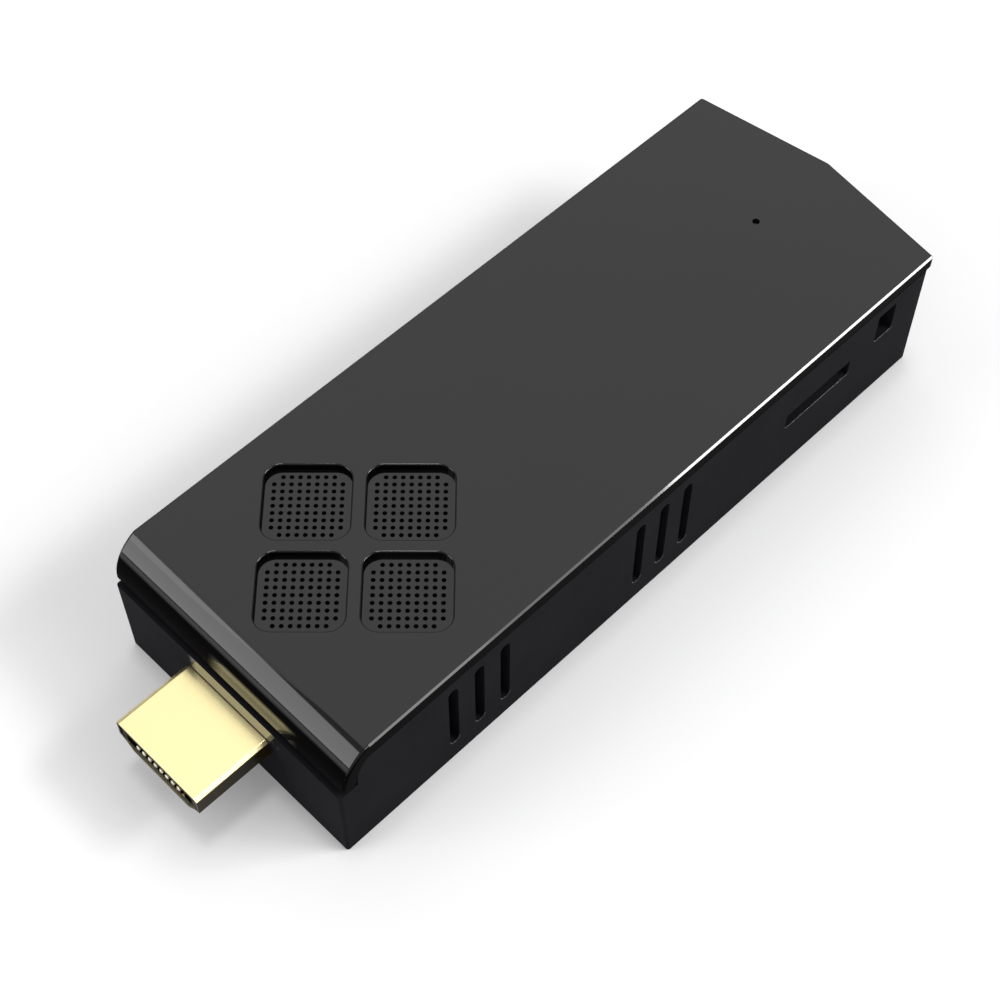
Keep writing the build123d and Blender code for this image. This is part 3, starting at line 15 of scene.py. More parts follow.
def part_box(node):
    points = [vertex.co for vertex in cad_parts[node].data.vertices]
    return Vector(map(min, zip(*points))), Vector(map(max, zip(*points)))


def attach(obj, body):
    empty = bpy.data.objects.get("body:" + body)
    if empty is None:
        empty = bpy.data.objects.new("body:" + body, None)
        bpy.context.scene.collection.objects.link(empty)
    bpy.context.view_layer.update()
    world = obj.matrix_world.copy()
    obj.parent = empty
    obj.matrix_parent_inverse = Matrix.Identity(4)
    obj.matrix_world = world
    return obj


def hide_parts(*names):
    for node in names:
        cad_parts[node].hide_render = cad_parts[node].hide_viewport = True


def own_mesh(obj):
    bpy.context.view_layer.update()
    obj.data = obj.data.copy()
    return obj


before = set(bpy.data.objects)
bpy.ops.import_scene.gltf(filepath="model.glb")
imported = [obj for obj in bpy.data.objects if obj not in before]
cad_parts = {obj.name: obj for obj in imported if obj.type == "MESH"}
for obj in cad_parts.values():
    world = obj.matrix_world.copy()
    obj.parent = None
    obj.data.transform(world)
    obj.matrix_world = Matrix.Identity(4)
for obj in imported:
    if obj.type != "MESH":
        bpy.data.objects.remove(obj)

log = logging.getLogger("stick")
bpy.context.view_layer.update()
MM = 0.001

Colour = tuple[float, float, float, float]
Tree = bpy.types.NodeTree
Socket = bpy.types.NodeSocket
Shape = bmesh.types.BMesh
Look = tuple[dict[str, Any], dict[str, Socket]]
Run = tuple[float, float, float]

MELT_FLOW_MM = 9.0
# Parts of a noise's range, of which nearly all values lie in the first
MOST_OF_NOISE = (0.3, 0.7)
MIDDLE_OF_NOISE = (0.35, 0.65)
LOWER_HALF_OF_NOISE = (0.2, 0.55)
# Scale of a grain along x, y and z, which is small along the way that it runs
ALL_WAYS: Run = (1.0, 1.0, 1.0)
FORE_AND_AFT: Run = (0.05, 1.0, 1.0)
UPRIGHT: Run = (1.0, 1.0, 0.1)


class Inward(Enum):
    """Which way the part lies from an edge that runs fore and aft."""

    PLUS_Y = 1
    MINUS_Y = -1


def linear(colour: str) -> Colour:
    """Turn an sRGB hex colour into linear light.

    Args:
        colour: Six hex digits with a leading hash.

    Returns:
        Red, green, blue and an alpha of one.
    """
    parts = [int(colour[i : i + 2], 16) / 255 for i in (1, 3, 5)]
    red, green, blue = [c / 12.92 if c <= 0.04045 else ((c + 0.055) / 1.055) ** 2.4 for c in parts]
    return red, green, blue, 1.0


def scaled(colour: Colour, factor: float) -> Colour:
    """Make a linear colour darker or lighter by a factor."""
    red, green, blue, alpha = colour
    return red * factor, green * factor, blue * factor, alpha


def grey(value: float) -> Colour:
    """Give a plain value as the colour that a ramp needs."""
    return value, value, value, 1.0


def uneven(value: float, play: float) -> tuple[Colour, Colour]:
    """Give a value's two ends, as greys, where it varies by a share of itself."""
    return grey(value * (1 - play)), grey(value * (1 + play))


def per_metre(size_mm: float) -> float:
    """Give the texture scale at which one cell is size_mm wide in object coordinates."""
    return 1 / (size_mm * MM)


def wire(
    tree: Tree,
    kind: str,
    values: dict[Any, Any] | None = None,
    links: dict[Any, Socket] | None = None,
    stops: Iterable[tuple[float, Colour]] = (),
    **settings: Any,
) -> bpy.types.Node:
    """Add a node with its settings and links.

    Args:
        tree: Node tree that gets the node.
        kind: Blender's name for the node type.
        values: Socket values, by input name or number.
        links: Sockets to take inputs from, by input name or number.
        stops: Place and colour of each stop of a colour ramp.
        settings: Attributes of the node itself.

    Returns:
        The new node.
    """
    node = tree.nodes.new(kind)
    for name, value in settings.items():
        setattr(node, name, value)
    for key, value in (values or {}).items():
        node.inputs[key].default_value = value
    for key, socket in (links or {}).items():
        tree.links.new(socket, node.inputs[key])
    for i, (place, colour) in enumerate(stops):
        node.color_ramp.elements[i].position = place
        node.color_ramp.elements[i].color = colour
    return node


@dataclass(frozen=True)
class Stretch:
    """Part of a coordinate, or of the outward direction's share along an axis, with a fade at its ends."""

    low: float
    high: float
    fade: float


@dataclass(frozen=True)
class Surface:
    """What every finish shares: a named material around one Principled shader."""

    name: str

    def make(self) -> bpy.types.Material:
        """Build the material: its patterns first, then the shader that takes them.

        Returns:
            The finished material.
        """
        material = bpy.data.materials.new(self.name)
        material.use_nodes = True
        tree = material.node_tree
        tree.nodes.clear()
        place = wire(tree, "ShaderNodeTexCoord").outputs["Object"]
        values, links = self.look(tree, place)
        shader = wire(tree, "ShaderNodeBsdfPrincipled", values, links)
        wire(tree, "ShaderNodeOutputMaterial", links={"Surface": shader.outputs[0]})
        return material

    def look(self, tree: Tree, place: Socket) -> Look:
        """Wire the patterns, which each finish does its own way.

        Args:
            tree: The material's node tree.
            place: Object coordinates.

        Returns:
            The shader's plain values, and the sockets linked to it, by the names of its inputs.
        """
        raise NotImplementedError

    def facing(self, tree: Tree) -> bpy.types.Node:
        """Split the surface's outward direction into its shares along x, y and z."""
        normal = wire(tree, "ShaderNodeNewGeometry").outputs["Normal"]
        return wire(tree, "ShaderNodeSeparateXYZ", links={0: normal})

    def within(self, tree: Tree, source: Socket, stretch: Stretch) -> Socket:
        """Give one where a coordinate lies in a stretch, fading out past its ends.

        Args:
            tree: Node tree to work in.
            source: The coordinate.
            stretch: Where the mask is full, and how wide its fade is.

        Returns:
            The mask's output.
        """
        rise = wire(
            tree,
            "ShaderNodeMapRange",
            {"From Min": stretch.low - stretch.fade, "From Max": stretch.low},
            {"Value": source},
            interpolation_type="SMOOTHSTEP",
        )
        past = stretch.high + stretch.fade
        fall = wire(
            tree,
            "ShaderNodeMapRange",
            {"From Min": stretch.high, "From Max": past, "To Min": 1.0, "To Max": 0.0},
            {"Value": source},
            interpolation_type="SMOOTHSTEP",
        )
        ends = {0: rise.outputs[0], 1: fall.outputs[0]}
        return wire(tree, "ShaderNodeMath", links=ends, operation="MULTIPLY").outputs[0]


@dataclass(frozen=True)
class Moulding(Surface):
    """Injection-moulded plastic or pressed compound, with the fine grain of its tool.

    The colour clouds a little where the melt flowed, and the gloss varies with the grain.
    """

    colour: str
    roughness: float = 0.4
    reflection: float = 0.5
    grain_mm: float = 0.25
    grain_depth_mm: float = 0.004
    shade: float = 0.85
    play: float = 0.15

    def look(self, tree: Tree, place: Socket) -> Look:
        """Wire the melt's clouds to the colour, and the grain to gloss and relief.

        Args:
            tree: The material's node tree.
            place: Object coordinates.

        Returns:
            The shader's plain values and its linked sockets.
        """
        base = linear(self.colour)
        melt = {"Scale": per_metre(MELT_FLOW_MM), "Detail": 3.0, "Roughness": 0.6}
        flow = wire(tree, "ShaderNodeTexNoise", melt, {"Vector": place}).outputs["Fac"]
        clouds = zip(MIDDLE_OF_NOISE, (scaled(base, self.shade), base))
        tint = wire(tree, "ShaderNodeValToRGB", links={"Fac": flow}, stops=clouds)
        tool = {"Scale": per_metre(self.grain_mm), "Detail": 2.0, "Roughness": 0.5}
        grain = wire(tree, "ShaderNodeTexNoise", tool, {"Vector": place}).outputs["Fac"]
        gloss = zip(MOST_OF_NOISE, uneven(self.roughness, self.play))
        rough = wire(tree, "ShaderNodeValToRGB", links={"Fac": grain}, stops=gloss)
        depth = {"Strength": 1.0, "Distance": self.grain_depth_mm * MM}
        relief = wire(tree, "ShaderNodeBump", depth, {"Height": grain})
        values = {"Specular IOR Level": self.reflection}
        links = {"Base Color": tint.outputs[0], "Roughness": rough.outputs[0], "Normal": relief.outputs[0]}
        return values, links


@dataclass(frozen=True)
class LacqueredCover(Surface):
    """Black ABS, polished in the tool and lacquered from above.

    The lacquer lies full on what faces up and thins out on the downturned lip, so the flat top
    mirrors the light evenly, the roll carries sharp bands, and the recess walls stay black. A
    polished field of the lip mirrors the gilt plug. The stretch over the plug is in metres, and
    the other two are shares of the outward direction along an axis.
    """

    colour: str
    over_plug: Stretch
    lip_upward: Stretch
    lip_ahead: Stretch
    lacquer_roughness: float
    flow_mm: float = 14.0
    lift: float = 1.25
    lacquer_thins: tuple[float, float] = (0.5, 0.57)
    roughness: float = 0.4
    reflection: float = 0.004
    lacquer_ior: float = 1.5

    def look(self, tree: Tree, place: Socket) -> Look:
        """Wire the melt's clouds to the colour, and where the lacquer lies to the coat.

        Args:
            tree: The material's node tree.
            place: Object coordinates.

        Returns:
            The shader's plain values and its linked sockets.
        """
        base = linear(self.colour)
        melt = {"Scale": per_metre(self.flow_mm), "Detail": 2.0}
        flow = wire(tree, "ShaderNodeTexNoise", melt, {"Vector": place}).outputs["Fac"]
        clouds = zip(MOST_OF_NOISE, (base, scaled(base, self.lift)))
        tint = wire(tree, "ShaderNodeValToRGB", links={"Fac": flow}, stops=clouds)
        facing = self.facing(tree)
        above = wire(
            tree,
            "ShaderNodeMapRange",
            {"From Min": self.lacquer_thins[0], "From Max": self.lacquer_thins[1]},
            {"Value": facing.outputs["Z"]},
            interpolation_type="SMOOTHSTEP",
        )
        across = wire(tree, "ShaderNodeSeparateXYZ", links={0: place}).outputs["Y"]
        over_plug = self.within(tree, across, self.over_plug)
        upward = self.within(tree, facing.outputs["Z"], self.lip_upward)
        ahead = self.within(tree, facing.outputs["X"], self.lip_ahead)
        lip = wire(tree, "ShaderNodeMath", links={0: upward, 1: ahead}, operation="MULTIPLY").outputs[0]
        field = wire(tree, "ShaderNodeMath", links={0: over_plug, 1: lip}, operation="MULTIPLY").outputs[0]
        lacquer = wire(tree, "ShaderNodeMath", links={0: above.outputs[0], 1: field}, operation="MAXIMUM")
        values = {
            "Roughness": self.roughness,
            "Specular IOR Level": self.reflection,
            "Coat Roughness": self.lacquer_roughness,
            "Coat IOR": self.lacquer_ior,
        }
        return values, {"Base Color": tint.outputs[0], "Coat Weight": lacquer.outputs[0]}


@dataclass(frozen=True)
class ErodedTub(Surface):
    """Black ABS of the tub, its walls spark-eroded and its front polished above the plug.

    The eroded walls swallow nearly all reflection and read deep black; the polished field mirrors
    the gilt plug. The stretches across and upward are in metres, and the one ahead is a share of
    the outward direction.
    """

    colour: str
    across: Stretch
    upward: Stretch
    ahead: Stretch
    roughness: float
    shade: float = 0.85
    reflection: float = 0.002
    polish_roughness: float = 0.04
    polish_ior: float = 1.8

    def look(self, tree: Tree, place: Socket) -> Look:
        """Wire the melt's clouds to the colour, and the polished field to the coat.

        Args:
            tree: The material's node tree.
            place: Object coordinates.

        Returns:
            The shader's plain values and its linked sockets.
        """
        base = linear(self.colour)
        melt = {"Scale": per_metre(MELT_FLOW_MM), "Detail": 3.0}
        flow = wire(tree, "ShaderNodeTexNoise", melt, {"Vector": place}).outputs["Fac"]
        clouds = zip(MIDDLE_OF_NOISE, (scaled(base, self.shade), base))
        tint = wire(tree, "ShaderNodeValToRGB", links={"Fac": flow}, stops=clouds)
        spot = wire(tree, "ShaderNodeSeparateXYZ", links={0: place})
        across = self.within(tree, spot.outputs["Y"], self.across)
        upward = self.within(tree, spot.outputs["Z"], self.upward)
        ahead = self.within(tree, self.facing(tree).outputs["X"], self.ahead)
        field = wire(tree, "ShaderNodeMath", links={0: across, 1: upward}, operation="MULTIPLY").outputs[0]
        polish = wire(tree, "ShaderNodeMath", links={0: field, 1: ahead}, operation="MULTIPLY")
        values = {
            "Roughness": self.roughness,
            "Specular IOR Level": self.reflection,
            "Coat Roughness": self.polish_roughness,
            "Coat IOR": self.polish_ior,
        }
        return values, {"Base Color": tint.outputs[0], "Coat Weight": polish.outputs[0]}


@dataclass(frozen=True)
class GiltSheet(Surface):
    """Steel sheet with a flash of pale gold, folded and brushed along its length.

    The top mirrors the light as pale gold. The folded flanks get painted shade: a dark brown colour
    and a low metallic, so colour and metallic both rise with the upward share of the outward direction.
    """

    colour: str
    # dark brown painted shade for the flanks
    painted_shade_flank: str
    roughness: float
    brush_mm: float
    brush_run: float = 0.04
    painted_shade_upward: tuple[float, float] = (0.1, 0.6)
    painted_shade_metal_upward: tuple[float, float] = (0.1, 0.5)
    play: float = 0.05
    reflection: float = 0.05

    def look(self, tree: Tree, place: Socket) -> Look:
        """Wire the gold to what faces up, and the brushing to the gloss.

        Args:
            tree: The material's node tree.
            place: Object coordinates.

        Returns:
            The shader's plain values and its linked sockets.
        """
        along = wire(tree, "ShaderNodeMapping", {"Scale": (self.brush_run, 1.0, 1.0)}, {"Vector": place})
        strokes = {"Scale": per_metre(self.brush_mm), "Detail": 2.0}
        brush = wire(tree, "ShaderNodeTexNoise", strokes, {"Vector": along.outputs[0]}).outputs["Fac"]
        upward = self.facing(tree).outputs["Z"]
        # painted shade: the colour runs from dark brown on the flanks to pale gold on what faces up
        gilt = zip(self.painted_shade_upward, (linear(self.painted_shade_flank), linear(self.colour)))
        gold = wire(tree, "ShaderNodeValToRGB", links={"Fac": upward}, stops=gilt)
        gloss = zip(MOST_OF_NOISE, uneven(self.roughness, self.play))
        rough = wire(tree, "ShaderNodeValToRGB", links={"Fac": brush}, stops=gloss)
        # painted shade: metallic falls away on the flanks, so they read dark
        painted_shade_plate = zip(self.painted_shade_metal_upward, (grey(0.0), grey(1.0)))
        metal = wire(tree, "ShaderNodeValToRGB", links={"Fac": upward}, stops=painted_shade_plate)
        values = {"Specular IOR Level": self.reflection}
        links = {"Base Color": gold.outputs[0], "Metallic": metal.outputs[0], "Roughness": rough.outputs[0]}
        return values, links


@dataclass(frozen=True)
class Metal(Surface):
    """Bare or plated metal with a drawn or turned grain and cloudy stains."""

    colour: str
    stain: str
    roughness: float
    grain_mm: float
    stain_mm: float
    run: Run = ALL_WAYS
    grain_depth_mm: float = 0.002
    play: float = 0.3

    def look(self, tree: Tree, place: Socket) -> Look:
        """Wire the stains to the colour, and the grain to gloss and relief.

        Args:
            tree: The material's node tree.
            place: Object coordinates.

        Returns:
            The shader's plain values and its linked sockets.
        """
        drawn = wire(tree, "ShaderNodeMapping", {"Scale": self.run}, {"Vector": place}).outputs["Vector"]
        lines = {"Scale": per_metre(self.grain_mm), "Detail": 3.0}
        grain = wire(tree, "ShaderNodeTexNoise", lines, {"Vector": drawn}).outputs["Fac"]
        patches = {"Scale": per_metre(self.stain_mm), "Detail": 4.0}
        cloud = wire(tree, "ShaderNodeTexNoise", patches, {"Vector": place}).outputs["Fac"]
        stains = zip(LOWER_HALF_OF_NOISE, (linear(self.stain), linear(self.colour)))
        tint = wire(tree, "ShaderNodeValToRGB", links={"Fac": cloud}, stops=stains)
        gloss = zip(MOST_OF_NOISE, uneven(self.roughness, self.play))
        rough = wire(tree, "ShaderNodeValToRGB", links={"Fac": grain}, stops=gloss)
        depth = {"Strength": 1.0, "Distance": self.grain_depth_mm * MM}
        relief = wire(tree, "ShaderNodeBump", depth, {"Height": grain})
        links = {"Base Color": tint.outputs[0], "Roughness": rough.outputs[0], "Normal": relief.outputs[0]}
        return {"Metallic": 1.0}, links


@dataclass(frozen=True)
class Clear(Surface):
    """Clear moulded acrylic, slightly cloudy inside, so it glows a little where light enters."""

    colour: str
    roughness: float
    cloud_mm: float = 0.6
    play: float = 0.4
    passes: float = 0.9
    ior: float = 1.49

    def look(self, tree: Tree, place: Socket) -> Look:
        """Wire the clouds to the gloss.

        Args:
            tree: The material's node tree.
            place: Object coordinates.

        Returns:
            The shader's plain values and its linked sockets.
        """
        haze = {"Scale": per_metre(self.cloud_mm), "Detail": 2.0}
        cloud = wire(tree, "ShaderNodeTexNoise", haze, {"Vector": place}).outputs["Fac"]
        gloss = zip(MOST_OF_NOISE, uneven(self.roughness, self.play))
        rough = wire(tree, "ShaderNodeValToRGB", links={"Fac": cloud}, stops=gloss)
        values = {"Base Color": linear(self.colour), "Transmission Weight": self.passes, "IOR": self.ior}
        return values, {"Roughness": rough.outputs[0]}


# ABS polished in the tool and lacquered: a black mirror that shows the lamps as even grey fields
COVER = LacqueredCover(
    "lacquered_black_abs",
    colour="#080707",
    over_plug=Stretch(-9.0 * MM, 0.3 * MM, fade=3.0 * MM),
    lip_upward=Stretch(-0.1, 0.3, fade=0.1),
    lip_ahead=Stretch(-1.1, -0.6, fade=0.2),
    lacquer_roughness=0.05,
)
# Spark-eroded ABS: a texture too fine to see, which swallows nearly all reflection and reads deep black
TUB = ErodedTub(
    "eroded_black_abs",
    colour="#202023",
    across=Stretch(-7.6 * MM, 5.0 * MM, fade=1.5 * MM),
    upward=Stretch(11.0 * MM, 13.5 * MM, fade=0.4 * MM),
    ahead=Stretch(-1.1, -0.8, fade=0.1),
    roughness=0.38,
)
# Moulded and polished ABS: one clear highlight on black
BUTTON = Moulding(
    "polished_black_abs",
    colour="#16161A",
    roughness=0.2,
    reflection=0.3,
    grain_mm=0.3,
    grain_depth_mm=0.001,
)
# Glossy ABS a little paler than the tub: a painted highlight, a thin grey line at the foot of each opening
PAINTED_HIGHLIGHT_EDGE = Moulding(
    "painted_highlight_abs_edge", colour="#2A2A2D", roughness=0.25, grain_mm=0.3, grain_depth_mm=0.001
)
# Steel sheet with a flash of gold, brushed: pale gold on top, painted shade in dark brown on the folded
# flanks
GILT = GiltSheet("gilt_steel_sheet", colour="#FFF0B6", painted_shade_flank="#261D0D", roughness=0.25, brush_mm=0.1)
# Contact ends stamped and plated bright: nearly white dots in the dark mouth
TIP = Metal(
    "bright_contact_tip", colour="#FFF7E2", stain="#FFEFC8", roughness=0.3, grain_mm=0.05, stain_mm=0.4
)
# Copper alloy stamped and gold-plated: warm bright lines with darker gold patches
GILT_CONTACT = Metal(
    "gilt_contact",
    colour="#FFE9A8",
    stain="#D9B75C",
    roughness=0.18,
    grain_mm=0.05,
    stain_mm=1.5,
    run=FORE_AND_AFT,
)
# Moulded liquid crystal polymer: dull black with hardly any reflection
PLUG_CORE = Moulding("black_liquid_crystal_polymer", colour="#0C0C0E", roughness=0.45, reflection=0.05)
# Rolled and tinned steel sheet: pale grey with a fine grain fore and aft
SHEET = Metal(
    "tinned_steel_sheet",
    colour="#D8D9DC",
    stain="#A9ABB0",
    roughness=0.28,
    grain_mm=0.08,
    stain_mm=4.0,
    run=FORE_AND_AFT,
)
# Moulded polyester: soft satin black
BLACK_PBT = Moulding("black_pbt", colour="#1C1C1F", roughness=0.42, reflection=0.4)
# Moulded polyester with pigment: the faster socket's satin blue tongue
BLUE_PBT = Moulding("blue_pbt", colour="#1B4FBE", roughness=0.42, reflection=0.4)
# Screened epoxy mask over copper: smooth dark green, clouded by the tracks below
SOLDER_MASK = Moulding("green_solder_mask", colour="#0F3B27", roughness=0.3, grain_mm=0.6, shade=0.6)
# Pressed epoxy with quartz filler: matt charcoal with a fine speckle in its gloss
CHIP = Moulding(
    "epoxy_moulding_compound",
    colour="#26262A",
    roughness=0.55,
    reflection=0.4,
    grain_mm=0.12,
    grain_depth_mm=0.006,
    shade=0.75,
)
# Glass cloth pressed with resin: satin green whose gloss varies finely, as the cloth shows through
LAMINATE = Moulding(
    "chip_laminate", colour="#1E5A38", roughness=0.35, grain_mm=0.3, grain_depth_mm=0.003, shade=0.8
)
# Cast silicone with ceramic filler: matt, soft-looking grey
PAD = Moulding(
    "silicone_gap_pad", colour="#8C9298", roughness=0.7, reflection=0.3, grain_mm=0.2, grain_depth_mm=0.01
)
# Extruded and anodised aluminium: silvery satin with lines fore and aft
ALUMINIUM = Metal(
    "anodised_aluminium",
    colour="#C9CBCE",
    stain="#AEB1B5",
    roughness=0.32,
    grain_mm=0.1,
    stain_mm=6.0,
    run=FORE_AND_AFT,
)
# Turned steel: bright, with fine upright lines
STEEL = Metal(
    "bright_steel",
    colour="#B9B9B8",
    stain="#8E8D8A",
    roughness=0.25,
    grain_mm=0.05,
    stain_mm=1.5,
    run=UPRIGHT,
)
# Steel blackened in hot salts: dark grey that still glints at its edges
BLACK_STEEL = Metal(
    "black_oxide_steel",
    colour="#3A3A3D",
    stain="#232325",
    roughness=0.35,
    grain_mm=0.05,
    stain_mm=1.0,
    run=UPRIGHT,
)
# Drawn aluminium: clean silver with upright draw lines
CAN = Metal(
    "aluminium_can",
    colour="#CDCED0",
    stain="#B4B6B9",
    roughness=0.22,
    grain_mm=0.06,
    stain_mm=2.0,
    run=(1, 1, 0.05),
)
# Pressed and fired ferrite: rough dark grey
FERRITE = Moulding(
    "ferrite_compound",
    colour="#3C3C40",
    roughness=0.6,
    reflection=0.4,
    grain_mm=0.15,
    grain_depth_mm=0.01,
    shade=0.8,
)
# Laminated polyimide: smooth brown-black with slow ripples
FILM = Moulding(
    "polyimide_film",
    colour="#17120C",
    roughness=0.35,
    reflection=0.4,
    grain_mm=0.5,
    grain_depth_mm=0.003,
    shade=0.8,
)
# Extruded PVC: soft satin black
SLEEVE = Moulding(
    "pvc_sleeve", colour="#151515", roughness=0.45, reflection=0.4, grain_mm=0.2, grain_depth_mm=0.003
)
# Moulded polyester with glass fibre: dull black with a coarse sparkle
FAN_PLASTIC = Moulding(
    "glass_filled_pbt",
    colour="#1A1A1C",
    roughness=0.5,
    reflection=0.4,
    grain_mm=0.3,
    grain_depth_mm=0.008,
)
# Sintered bronze: warm brown metal, matt from its pores
BRONZE = Metal(
    "sintered_bronze", colour="#B08A4E", stain="#8A6A3A", roughness=0.45, grain_mm=0.1, stain_mm=0.6
)
# Stamped and stacked electrical steel: grey with thin flat layers
LAMINATIONS = Metal(
    "silicon_steel_laminations",
    colour="#7E7F82",
    stain="#5B5A58",
    roughness=0.45,
    grain_mm=0.1,
    stain_mm=1.0,
    run=(0.1, 0.1, 3),
)
# Enamelled and wound copper wire: glossy orange-brown with turns that lie flat
COPPER = Metal(
    "enamelled_copper",
    colour="#C8743C",
    stain="#8F4A22",
    roughness=0.3,
    grain_mm=0.12,
    stain_mm=0.8,
    run=(0.1, 0.1, 1),
)
# Ferrite bonded in nylon: matt black with a fine grit
MAGNET = Moulding(
    "bonded_ferrite", colour="#2B2A2A", roughness=0.6, reflection=0.3, grain_mm=0.1, grain_depth_mm=0.006
)
# Moulded natural nylon: creamy and waxy
IVORY = Moulding("ivory_nylon", colour="#D9D2BE", roughness=0.5, reflection=0.4, grain_mm=0.3)
# Moulded liquid crystal polymer: matt charcoal with faint flow clouds
SOCKET_PLASTIC = Moulding("black_lcp", colour="#1D1D20", roughness=0.5, reflection=0.4)
# Moulded white polyamide: a bright, smooth little block
RESIN = Moulding("white_led_base", colour="#DDE0D2", roughness=0.35, grain_mm=0.3, grain_depth_mm=0.003)
# Moulded acrylic: clear, with a slight haze that catches light
ACRYLIC = Clear("clear_acrylic", colour="#E4EBEE", roughness=0.2)
# Screened epoxy mask with blue pigment: smooth dark blue
WIFI_MASK = Moulding("blue_solder_mask", colour="#10263C", roughness=0.3, grain_mm=0.6, shade=0.6)


@cache
def material_of(finish: Surface) -> bpy.types.Material:
    """Give the one material that all pieces of a finish share."""
    return finish.make()


def dress(finish: Surface, *nodes: str) -> None:
    """Give carried-over solids their finish.

    Args:
        finish: What the solids are made of.
        nodes: Names of the solids.
    """
    for name in nodes:
        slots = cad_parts[name].data.materials
        if not slots:
            slots.append(None)
        for i in range(len(slots)):
            slots[i] = material_of(finish)
        log.info("dressed %s in %s", name, finish.name)


def grow(
    name: str, finish: Surface, body: str, shape: Shape, smooth: bool = True
) -> bpy.types.Object:
    """Turn a finished shape into a piece that rides on a body.

    Args:
        name: Name of the piece.
        finish: What it is made of.
        body: Body that carries it.
        shape: The shape, which is used up.
        smooth: Whether its faces shade smoothly.

    Returns:
        The piece.
    """
    bmesh.ops.recalc_face_normals(shape, faces=shape.faces)
    mesh = bpy.data.meshes.new(name)
    shape.to_mesh(mesh)
    shape.free()
    if smooth:
        mesh.shade_smooth()
    piece = bpy.data.objects.new(name, mesh)
    bpy.context.scene.collection.objects.link(piece)
    mesh.materials.append(material_of(finish))
    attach(piece, body)
    log.info("made %s", name)
    return piece


def corners_mm(node: str) -> tuple[Vector, Vector]:
    """Give the low and high corner of a solid's box, in millimetres."""
    low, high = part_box(node)
    return Vector(low) / MM, Vector(high) / MM


def add_block(
    shape: Shape, centre: Sequence[float], size: Sequence[float], round_mm: float, steps: int = 3
) -> None:
    """Add a block with rounded edges to a shape.

    Args:
        shape: Shape to add to.
        centre: Middle of the block, in millimetres.
        size: Its three sizes, in millimetres.
        round_mm: Radius of its edges.
        steps: Facets round each edge.
    """
    place = Matrix.Translation(Vector(centre) * MM) @ Matrix.Diagonal((*(s * MM for s in size), 1.0))
    made = bmesh.ops.create_cube(shape, size=1.0, matrix=place)
    edges = list({edge for vertex in made["verts"] for edge in vertex.link_edges})
    bmesh.ops.bevel(shape, geom=edges, offset=round_mm * MM, segments=steps, profile=0.5, affect="EDGES")


def add_skin(shape: Shape, rings: Iterable[Iterable[Vector]]) -> None:
    """Add a closed skin over rings of points, with its two ends capped.

    Args:
        shape: Shape to add to.
        rings: Points of each ring in turn, in metres, as many in one as in the next.
    """
    made = [[shape.verts.new(point) for point in ring] for ring in rings]
    for one, two in zip(made, made[1:]):
        for i in range(len(one)):
            j = (i + 1) % len(one)
            shape.faces.new((one[i], one[j], two[j], two[i]))
    shape.faces.new(made[0][::-1])
    shape.faces.new(made[-1])


def add_bead(shape: Shape, path: Sequence[Sequence[float]], radius_mm: float, sides: int = 8) -> None:
    """Add a round bead that follows an open path.

    Args:
        shape: Shape to add to.
        path: Points of the path, in millimetres.
        radius_mm: Radius of the bead.
        sides: Facets round it.
    """
    points = [Vector(p) * MM for p in path]
    circle = [Vector((cos(tau * i / sides), sin(tau * i / sides), 0)) for i in range(sides)]
    rings = []
    for i, point in enumerate(points):
        ahead = (points[min(i + 1, len(points) - 1)] - points[max(i - 1, 0)]).normalized()
        turn = ahead.to_track_quat("Z", "Y")
        rings.append([point + turn @ spoke * radius_mm * MM for spoke in circle])
    add_skin(shape, rings)


def add_strip(
    shape: Shape, path: Sequence[Sequence[float]], middle: float, width: float, thickness: float
) -> None:
    """Add a bent strip of sheet that lies flat along x.

    Args:
        shape: Shape to add to.
        path: Its y and z from end to end, in millimetres.
        middle: The x of its middle, in millimetres.
        width: Its width along x, in millimetres.
        thickness: Its thickness, in millimetres.
    """
    corners = [(-width / 2, 0), (width / 2, 0), (width / 2, thickness), (-width / 2, thickness)]
    add_skin(shape, [[Vector((middle + x, y, z + up)) * MM for x, up in corners] for y, z in path])


def add_bevel(
    shape: Shape,
    span: tuple[float, float],
    corner: tuple[float, float],
    inward: Inward,
    radius_mm: float,
    tilt: float = pi / 6,
    depth: float = 0.54,
) -> None:
    """Add a flat bevel along an upper edge that runs fore and aft, touching the edge's own rounding.

    Args:
        shape: Shape to add to.
        span: Where the bevel starts and ends along x, in millimetres.
        corner: The y and z where the side and the top would meet, in millimetres.
        inward: Which way the part lies from the corner.
        radius_mm: Radius of the edge's rounding.
        tilt: Slope of the bevel.
        depth: How far the bevel's root lies inside, as a share of the radius.
    """
    across = radius_mm * (1 - (1 - cos(tilt)) / sin(tilt))
    down = radius_mm * (1 - (1 - sin(tilt)) / cos(tilt))
    root = radius_mm * depth
    side, top = corner
    profile = [
        (side + inward.value * across, top),
        (side, top - down),
        (side + inward.value * root, top - root),
    ]
    add_skin(shape, [[Vector((x, y, z)) * MM for y, z in profile] for x in span])


@dataclass(frozen=True)
class Opening:
    """An opening in the slotted wall, in millimetres, with its middle counted from the front wall."""

    middle: float
    width: float
    foot: float
    corner: float


